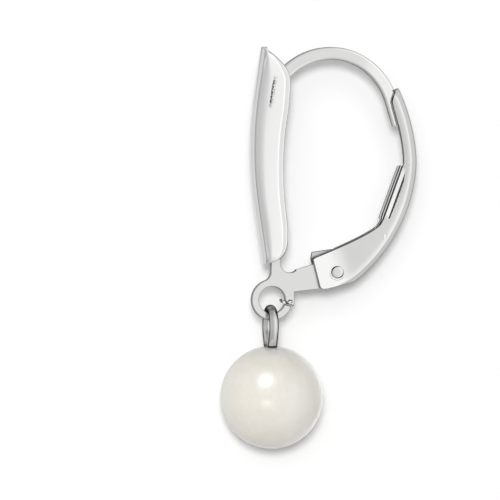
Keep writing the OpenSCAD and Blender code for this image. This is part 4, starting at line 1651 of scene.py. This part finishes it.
    def back(self) -> bpy.types.Object:
        """The round back, swept along the chain of arcs and cut along the cheeks' sole."""
        lay, sketch = self.lay, Sketch()
        outer = [(lay.half + self.lap, -lay.half)]
        inner = [(lay.half + self.lap, -lay.inner_half)]
        for i in range(self.sides + 1):
            a = math.radians(mix(-90, 90, i / self.sides))
            outer.append((lay.half * (1 - math.cos(a)), lay.half * math.sin(a)))
            inner.append((lay.half - lay.inner_half * math.cos(a), lay.inner_half * math.sin(a)))
        outer.append((lay.half + self.lap, lay.half))
        inner.append((lay.half + self.lap, lay.inner_half))
        inner.reverse()
        run = [mix(self.nose_end, 1.0, i / self.stations) for i in range(1, self.stations + 1)]
        rings = []
        for k, (s, trim) in enumerate([*self.nose, *((s, 0.0) for s in run)]):
            limit = max(lay.channel_depth * table(lay.edge_rows, s), self.least_depth)
            ring = []
            for rail, grow in ((outer, trim * 0.6), (inner, 0.0)):
                for d, x in rail:
                    p = lay.back_at(s, min(d, limit) + grow)
                    ring.append((x * (1 - grow * 0.25), p.x, p.y))
            rings.append(sketch.ring(ring, self.nose_shade_and_dull[k] if k < len(self.nose_shade_and_dull) else 0.0))
        # The sole's end is painted dark as shade.
        for short, rim in self.sole_rows:
            last = []
            for d, x in outer + inner:
                p = meet(lay.heel - lay.heel_out * d, lay.heel_way, lay.heel, lay.sole_way)
                beside = abs(x) >= lay.plate_thickness / 2 + self.web_margin
                if not beside and (p - lay.heel).length > lay.web_reach:
                    p = lay.heel + lay.sole_way * lay.web_reach
                p -= lay.heel_way * min(short, (p - lay.heel + lay.heel_out * d).length * 0.6)
                last.append((x, p.x, p.y))
            rings.append(sketch.ring(last, rim))
        for a, b in zip(rings, rings[1:]):
            sketch.band(a, b)
        m = len(outer)
        for ring in (rings[0], rings[-1]):
            for i in range(m - 1):
                sketch.faces.append((ring[i], ring[i + 1], ring[2 * m - 2 - i], ring[2 * m - 1 - i]))
        return sketch.build("lever_back", 38)

    def dress(self, material: bpy.types.Material, shaded: bpy.types.Material) -> None:
        """Builds and dresses the lever, its far cheek in a second, darker finish that paints it in shade."""
        lay = self.lay
        outer, inner = lay.half - self.flush, lay.inner_half + self.flush

        def in_throat_shade(p: Vector) -> bool:
            """Whether a place lies as high as the throat, where the edges are painted as shade."""
            low, high = self.throat_shade_band
            return lay.pivot.y + low < p.y < lay.waist_foot.y + high

        def near_shade_and_dull(p: Vector, loop: int) -> float:
            """Painted shade: black in the slit and over the throat, a dark line along the other edges."""
            if p.y > lay.tip_end.y + 0.05:
                return self.tip_shade_and_dull
            black = loop == 2 or in_throat_shade(p) and p.x > lay.pivot.x - self.throat_shade_reach
            return 1.0 if black else self.edge_shade_and_dull

        def far_shade_and_dull(p: Vector, loop: int) -> float:
            """Painted shade: light at the waist, dark over the throat."""
            return 1.0 if in_throat_shade(p) else self.far_edge_shade_and_dull

        near = plate("near_wall", self.wall(False), inner, outer, self.edge, near_shade_and_dull, 0.2)
        lip = self.turned_lip(outer)
        far = plate("lever_far_cheek", self.wall(True), -outer, -inner, self.edge, far_shade_and_dull, 0.6)
        dress(joined("lever_channel", [self.back(), near, lip]), material, "lever", "lever_gold", "lever")
        dress(far, shaded, "lever", "lever_gold", "lever")


@dataclass
class Rivet:
    """The pivot pin, turned about its axis, with low domed heads."""

    lay: Layout
    shank: float = 0.27
    head: float = 0.4
    height: float = 0.05
    lit: float = 0.75
    sides: int = 64

    def dress(self, material: bpy.types.Material) -> None:
        """Builds and dresses the rivet."""
        lay = self.lay
        base = lay.half + 0.02
        shares = [(0.0, 0.0), (0.45, 0.002), (0.8, 0.006), (0.84, 0.012)]
        rows = [(self.head * share, base + self.height - drop) for share, drop in shares]
        rows += [(self.head * 0.97, base + self.height * 0.35), (self.head, base + 0.006),
                 (self.head * 0.97, base), (self.shank, base)]
        profile = [(r, x, float(k > 2)) for k, (r, x) in enumerate(rows)]
        profile += [(r, -x, rim) for r, x, rim in reversed(profile)]
        turns = [2 * math.pi * i / self.sides for i in range(self.sides)]
        # Painted shade on the heads' edges, darkest on two opposite sides, set by lit.
        shade = [0.15 + 0.85 * math.sin(a - self.lit) ** 2 for a in turns]
        sketch, rings = Sketch(), []
        for r, x, rim in profile[1:-1]:
            ring = [(x, lay.pivot.x + r * math.cos(a), lay.pivot.y + r * math.sin(a)) for a in turns]
            rings.append(sketch.ring(ring, [rim * dark for dark in shade]))
        sketch.tube(rings)
        dress(sketch.build("pivot_rivet", 30), material, "lever", "lever_gold", "rivet")


@dataclass
class LeafSpring:
    """The spring: a ribbed seat folded over the waist, and a flat tongue to the arm's tail."""

    lay: Layout
    seat: float = 0.15
    leaf: float = 0.1
    tongue: float = 0.5
    tongue_start: float = 0.4
    gap: float = 0.02
    swing: float = 0.03
    edge_share: float = 0.28

    def strip(self, name: str, path: Sequence[Vector], half_width: float, thickness: float,
              out: Vector) -> bpy.types.Object:
        """A strip of rounded section along a side-view path.

        Args:
            name: the object's name.
            path: the strip's lower face.
            half_width: half its width.
            thickness: its thickness, less at both ends.
            out: the direction from its lower to its upper face.

        Returns:
            The new object.
        """
        sketch, rings = Sketch(), []
        w, e = half_width, min(thickness, half_width) * self.edge_share
        for p, grow in zip(path, [0.6] + [1.0] * (len(path) - 2) + [0.6]):
            t, f = thickness * grow, e * grow
            # The third number of each section point is its painted edge shade.
            sec = [(-w + e, 0, 0.5), (0, 0, 0), (w - e, 0, 1), (w, f, 1), (w, t * 0.4, 0), (w, t * 0.7, 0),
                   (w, t - f, 1), (w - e, t, 1), (w * 0.6, t, 1), (w * 0.3, t, 0), (-w * 0.3, t, 0),
                   (-w * 0.6, t, 1), (-w + e, t, 1), (-w, t - f, 1), (-w, f, 1)]
            rings.append(sketch.ring([(x, *(p + out * d)) for x, d, _ in sec], [r for _, _, r in sec]))
        sketch.tube(rings)
        return sketch.build(name, 40)

    def dress(self, material: bpy.types.Material) -> None:
        """Builds and dresses the spring."""
        lay = self.lay
        low = lay.waist_out * self.gap
        top, foot = lay.waist_top + low, lay.waist_foot + low
        path = [top.lerp(foot, i / 40) for i in range(41)]
        path.insert(1, path[0].lerp(path[1], 0.4))
        seat = self.strip("seat", path, lay.half, self.seat, lay.waist_out)
        start = lay.waist_foot - lay.waist_way * self.tongue_start + low
        bearing = lay.tail_radius + self.swing
        away = start - lay.pivot
        angle = math.degrees(math.atan2(away.y, away.x)) - math.degrees(math.acos(bearing / away.length))
        touch = lay.pivot + polar(bearing, angle)
        line = [start.lerp(touch, i / 12) for i in range(13)]
        leaf = self.strip("leaf", line, self.tongue / 2, self.leaf, polar(1, angle))
        dress(joined("leaf_spring_strip", [seat, leaf]), material, "lever", "spring_metal", "leaf_spring")


# The drop's pieces


@dataclass
class Drop:
    """The eye loop through the ring, and the pearl on its ends."""

    lay: Layout
    pearl: float = 6.5
    eye_width: float = 2.76
    eye_height: float = 2.2
    wire: float = 0.46
    flat_wire: float = 0.6
    sway: float = -0.06
    stem: float = 0.38
    stem_length: float = 2.6
    turn: float = 3.0
    touch: float = 0.02
    worn: float = 0.88
    worn_span: Point = (0.3, 0.7)
    seat: float = 0.05
    stem_room: float = 0.012
    shoulder_turn: float = 24.0
    foot_rise: float = 0.28
    foot_bow: float = 0.93
    drill_edge: Rows = ((0.0, 0.06), (0.008, 0.015))
    drill_round: float = 0.03
    bead_end: float = 179.2
    bead_rows: int = 96
    bead_sides: int = 160

    def __post_init__(self) -> None:
        """Works out where the loop and pearl hang."""
        lay = self.lay
        self.half = (self.eye_width - self.wire) / 2
        inner = self.half - self.wire / 2
        sag = inner - math.sqrt(inner ** 2 - (lay.plate_thickness / 2 + self.touch) ** 2)
        self.hang = Vector((lay.ring.x, lay.ring.y - lay.ring_hole / 2 + self.wire / 2 + sag + self.touch))
        self.pearl_top = self.hang.y - self.wire / 2 - self.eye_height
        self.middle = self.pearl_top - self.pearl / 2 + self.seat
        self.stem_gap = self.stem / 2 + self.stem_room

    @property
    def drill(self) -> float:
        """Radius of the pearl's drilled hole."""
        return self.stem_gap + self.stem / 2 + self.touch

    def loop_path(self) -> tuple[list[Sequence[float]], list[float]]:
        """The loop's middle line and the wire's size along it."""
        centre, turn = Vector((0.0, self.hang.y - self.half)), self.shoulder_turn
        side = [(p, mix(self.worn, 1.0, smooth(p.x, *self.worn_span)))
                for p in arc(centre, self.half, 90, -turn, 38)]
        p = side[-1][0]
        q = Vector((self.stem_gap, self.pearl_top + self.foot_rise))
        c = p + (meet(p, polar(1, -90 - turn), q, Vector((0.0, 1.0))) - p) * self.foot_bow
        end = self.stem / self.wire
        side += [(bezier(p, c, q, i / 20), mix(1.0, end, i / 20)) for i in range(1, 21)]
        foot = self.pearl_top - self.stem_length
        side += [(Vector((self.stem_gap, mix(q.y, foot, t))), end) for t in (0.33, 0.66, 1)]
        line = [(Vector((-v.x, v.y)), s) for v, s in reversed(side[1:])] + side
        cs, sn = math.cos(math.radians(self.turn)), math.sin(math.radians(self.turn))
        return [(v.x * cs, self.hang.x + self.sway + v.x * sn, v.y) for v, _ in line], [s for _, s in line]

    def dress_loop(self, material: bpy.types.Material) -> None:
        """Builds and dresses the loop."""
        path, scales = self.loop_path()
        loop = SweptWire("eye_loop_wire", path, scales, Profile.ROUND, self.wire, self.flat_wire, sides=24)
        dress(loop.build(material), material, "drop", "loop_metal", "eye_loop")

    def dress_pearl(self, material: bpy.types.Material) -> bpy.types.Object:
        """Builds, dresses and returns the pearl, with its drilled hole."""
        r, drill = self.pearl / 2, self.drill
        first = math.degrees(math.asin((drill + self.drill_round) / r))
        mouth = r * math.cos(math.radians(first))
        rows = [(drill, -self.stem_length - 0.1 + (self.pearl_top - self.middle))]
        rows += [(drill + out, mouth - deep) for out, deep in self.drill_edge]
        for i in range(self.bead_rows + 1):
            a = math.radians(mix(first, self.bead_end, i / self.bead_rows))
            rows.append((r * math.sin(a), r * math.cos(a)))
        turns = [2 * math.pi * i / self.bead_sides for i in range(self.bead_sides)]
        sketch, rings = Sketch(), []
        for out, z in rows:
            rings.append(sketch.ring([
                (out * math.cos(a), self.hang.x + out * math.sin(a), self.middle + z) for a in turns]))
        sketch.tube(rings)
        bead = sketch.build("pearl_bead", 50)
        dress(bead, material, "drop", "pearl", "pearl")
        return bead


# Studio


def ramp(t: Nodes, value: Sock, rows: Sequence[Point]) -> Sock:
    """A brightness ramp over directions, from rows of (degrees, brightness).

    Args:
        t: the tree.
        value: the tangent of half the angle where the rows go below zero, and otherwise its cosine.
        rows: the rows, in order of the value.

    Returns:
        The brightness.
    """
    signed = rows[0][0] < 0
    stops = []
    for angle, bright in rows:
        place = math.tan(math.radians(angle) / 2) if signed else math.cos(math.radians(angle))
        stops.append((place * 0.5 + 0.5, rgb(bright, bright, bright)))
    return t.node("ShaderNodeValToRGB", {"stops": stops}, {0: value * 0.5 + 0.5})


class LampKind(Enum):
    """The kinds of lamp in use."""

    SUN = "SUN"
    AREA = "AREA"


@dataclass(frozen=True)
class Lamp:
    """One lamp, aimed at the earring from some degrees right of and above the camera.

    Its size is an angle in degrees for a sun, and a width and height in millimetres for an area. A lamp
    for one piece alone shows in its gloss, and the others light matt surfaces.
    """

    name: str
    kind: LampKind
    place: Point
    energy: float
    size: Point
    alone: bool = False


@dataclass
class Studio:
    """Camera, soft lights, the surrounding glow and the pale ground."""

    target: Triple = (0.0, -5.139, -12.063)
    azimuth: float = 82.0
    elevation: float = 0.0
    pixel: float = 0.0633
    photo_width: int = 500
    sensor: float = 36.0
    distance: float = 620.0
    ground_x: float = -3.28
    ground_half: float = 60.0
    across: Rows = ((-90, 0.22), (-62, 0.42), (-42, 0.3), (-20, 0.32), (0, 0.37), (16, 0.41), (26, 0.5),
                     (36, 0.52), (46, 0.6), (52, 0.66), (58, 0.58), (68, 0.47), (90, 0.46))
    upward: Rows = ((-90, 0.7), (-60, 0.78), (-30, 0.9), (0, 1.0), (30, 1.0), (45, 1.0), (60, 0.8),
                     (90, 0.7))
    inward: Rows = ((180, 1.0), (150, 0.75), (110, 0.68), (98, 0.64), (82, 0.6), (68, 0.64), (58, 0.667),
                     (0, 0.667))
    glow: float = 3.0
    fill: float = 0.34
    fill_left: float = 0.42
    fill_low: float = 0.38
    lamp_distance: float = 200.0
    lamps: tuple[Lamp, ...] = (
        Lamp("key_sun", LampKind.SUN, (-0.6, 7.0), 1.6, (10.0, 10.0)),
        Lamp("soft_sun", LampKind.SUN, (0.0, 16.0), 0.92, (50.0, 50.0)),
        Lamp("high_box", LampKind.AREA, (-15.0, 36.0), 0.3, (100.0, 100.0), alone=True),
        Lamp("low_box", LampKind.AREA, (-8.0, -15.0), 0.04, (70.0, 22.0), alone=True),
    )

    def __post_init__(self) -> None:
        """Works out the directions towards the camera, to its right and up."""
        a, e = math.radians(self.azimuth), math.radians(self.elevation)
        self.away = Vector((math.sin(a) * math.cos(e), -math.cos(a) * math.cos(e), math.sin(e)))
        self.right = Vector((math.cos(a), math.sin(a), 0.0))
        self.up = self.away.cross(self.right)

    def aimed(self, name: str, data: bpy.types.ID, way: Vector, distance: float) -> bpy.types.Object:
        """A new object at a distance from the earring, in that direction, that looks at it."""
        obj = linked(name, data)
        obj.location = (Vector(self.target) + way * distance) * MM
        obj.rotation_euler = (-way).to_track_quat("-Z", "Y").to_euler()
        return obj

    def camera(self) -> None:
        """Places the camera on the photograph's view."""
        data = bpy.data.cameras.new("camera")
        data.sensor_width = self.sensor
        data.lens = self.sensor * self.distance / (self.photo_width * self.pixel)
        data.clip_start, data.clip_end = 0.01, 20.0
        bpy.context.scene.camera = self.aimed("camera", data, self.away, self.distance)

    def ground(self) -> None:
        """Stands the pale sheet behind the earring."""
        sketch, half = Sketch(), self.ground_half
        y, z = self.target[1:]
        for b in (-1, 1):
            sketch.ring([(self.ground_x, y + a * half, z + b * half) for a in (-1, 1)])
        sketch.grid([[0, 1], [2, 3]])
        obj = sketch.build("pale_sheet")
        obj.data.materials.append(PaleGround("pale_ground").make())
        obj.visible_glossy = False
        if obj.data.polygons[0].normal.x < 0:
            obj.data.flip_normals()

    def world(self) -> None:
        """A soft tent of light: even at the camera, brighter right and above, darker at the rim."""
        world = bpy.data.worlds.new("soft_tent")
        bpy.context.scene.world = world
        world.use_nodes = True
        t = Nodes(world.node_tree)
        way = t.node("ShaderNodeTexCoord", out="Generated")
        ahead, side, height = (
            t.node("ShaderNodeVectorMath", {"operation": "DOT_PRODUCT"}, {0: way, 1: tuple(v)}, out="Value")
            for v in (self.away, self.right, self.up))
        depth = t.node("ShaderNodeMath", {"operation": "MAXIMUM"}, {0: ahead, 1: 0.0}) + 1.0
        sides = ramp(t, side / depth, self.across)
        heights = ramp(t, height / depth, self.upward)
        glow = sides * heights * ramp(t, ahead, self.inward) * self.glow
        seen = t.node("ShaderNodeLightPath", out="Is Camera Ray")
        matt = Sock(t, seen.socket.node.outputs["Is Diffuse Ray"])
        soft = (1.0 - side * self.fill_left - height * self.fill_low) * self.fill
        strength = (glow * (1.0 - matt) + soft * matt) * (1.0 - seen) + seen
        shader = t.node("ShaderNodeBackground", {}, {"Color": grey(1.0), "Strength": strength})
        t.node("ShaderNodeOutputWorld", {}, {"Surface": shader})

    def light(self, lamp: Lamp, piece: bpy.types.Object) -> None:
        """Adds one lamp; a lamp for one piece lights that piece alone."""
        r, e = math.radians(lamp.place[0]), math.radians(lamp.place[1])
        level = self.away * math.cos(r) * math.cos(e) + self.right * math.sin(r) * math.cos(e)
        data = bpy.data.lights.new(lamp.name, lamp.kind.value)
        data.energy = lamp.energy
        if lamp.kind is LampKind.SUN:
            data.angle = math.radians(lamp.size[0])
        else:
            data.shape, data.size, data.size_y = "ELLIPSE", lamp.size[0] * MM, lamp.size[1] * MM
        obj = self.aimed(lamp.name, data, (level + self.up * math.sin(e)).normalized(), self.lamp_distance)
        obj.visible_glossy, obj.visible_diffuse, obj.visible_camera = lamp.alone, not lamp.alone, False
        if lamp.alone:
            group = bpy.data.collections.new(lamp.name + "_receivers")
            group.objects.link(piece)
            obj.light_linking.receiver_collection = group

    def build(self, pearl: bpy.types.Object) -> None:
        """Sets up the whole studio, with two soft boxes that show in the pearl alone."""
        bpy.context.scene.view_settings.view_transform = "Standard"
        self.camera()
        self.ground()
        self.world()
        for lamp in self.lamps:
            self.light(lamp, pearl)
        LOG.info("studio ready with %d lamps", len(self.lamps))


# Main


def golds(lay: Layout, drop: Drop) -> dict[str, bpy.types.Material]:
    """The finishes of the metal pieces, by the piece that wears each."""
    bar_streak = DarkStreak(top=(-3.75, -1.17), middle=(-4.026, -2.7), foot=(-4.084, -3.15))
    wire_dish = Dish(start=(2.4, 0.0), way=(-1.0, 0.0), slope=-0.1, blend=0.9)
    plate_dish = Dish(start=(lay.ring.x, lay.ring.y + 1.2), way=(0.0, 1.0), slope=0.12, blend=0.5)
    cheek_dish = Dish(start=(lay.pivot.x + 0.42, lay.pivot.y), way=(0.94, 0.34), slope=0.27, blend=0.8)
    cheek_rivet_shadow = RivetShadow(centre=(lay.pivot.x - 0.02, lay.pivot.y - 0.03), radius=0.48)
    lever_spark = Spark(centre=(3.406, -11.208), lie=62.0, long=0.2, wide=0.09, slope=0.3)
    loop_edge_shade = EdgeShade(start=0.24, full=0.52, bend=drop.hang.y - 0.1)
    rows = {
        "bar": Gold("white_gold_polish", tone=0.885, warmth=0.004, graze=0.85, edge_tone=0.1,
                    marks=(bar_streak,)),
        "wire": Gold("wire_polish", tone=0.87, roughness=0.13, grain=(1.0, 2.0, 5.0), forms=(wire_dish,)),
        "plate": Gold("plate_polish", tone=0.87, roughness=0.22, grain=(1.0, 3.0, 3.0), edge_tone=0.1,
                      forms=(plate_dish,)),
        "lever": Gold("lever_polish", tone=0.8, roughness=0.16, grain=(1.0, 2.0, 6.0), edge_tone=0.04,
                      # The lever's colour is painted darker above its waist, as shade.
                      graze=0.12, shade_above=(lay.waist_foot.y - 0.6, lay.waist_top.y, 0.69),
                      marks=(cheek_rivet_shadow,), forms=(cheek_dish, lever_spark)),
        # The burr's edge tone paints its shaded sides near black.
        "burr": Gold("torn_edge", tone=0.9, roughness=0.12, edge_tone=0.01),
        # The far cheek is the lever's gold in a darker tone, as painted shade.
        "cheek": Gold("far_cheek_in_shade", tone=0.73, grain=(1.0, 2.0, 6.0), edge_tone=0.04, graze=0.95),
        "rivet": Gold("rivet_polish", tone=0.85, roughness=0.2, grain=(1.0, 5.0, 5.0), edge_tone=0.02),
        # The loop's low tone and its painted edge shade stand in for its darker reflections.
        "loop": Gold("loop_polish", tone=0.7, roughness=0.13, relief=0.02, graze=0.05,
                     marks=(loop_edge_shade, GlueAndHoleShade(drop.pearl_top))),
    }
    return {piece: gold.make() for piece, gold in rows.items()}


def main() -> None:
    """Builds every piece in order and reports it."""
    logging.basicConfig(level=logging.INFO, format="%(name)s: %(message)s")
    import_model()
    lay = Layout()
    drop = Drop(lay)
    gold = golds(lay, drop)
    steel = SpringSteel("spring_satin").make()
    nacre = Nacre("cream_nacre", (drop.hang.x, drop.middle), drop.pearl / 2, drop.drill).make()
    FrontBar(lay).dress(gold["bar"])
    EarWire(lay).dress(gold["wire"])
    LowerPlate(lay).dress(gold["plate"], gold["burr"])
    Lever(lay).dress(gold["lever"], gold["cheek"])
    Rivet(lay).dress(gold["rivet"])
    LeafSpring(lay).dress(steel)
    drop.dress_loop(gold["loop"])
    Studio().build(drop.dress_pearl(nacre))


if __name__ == "__main__":
    main()
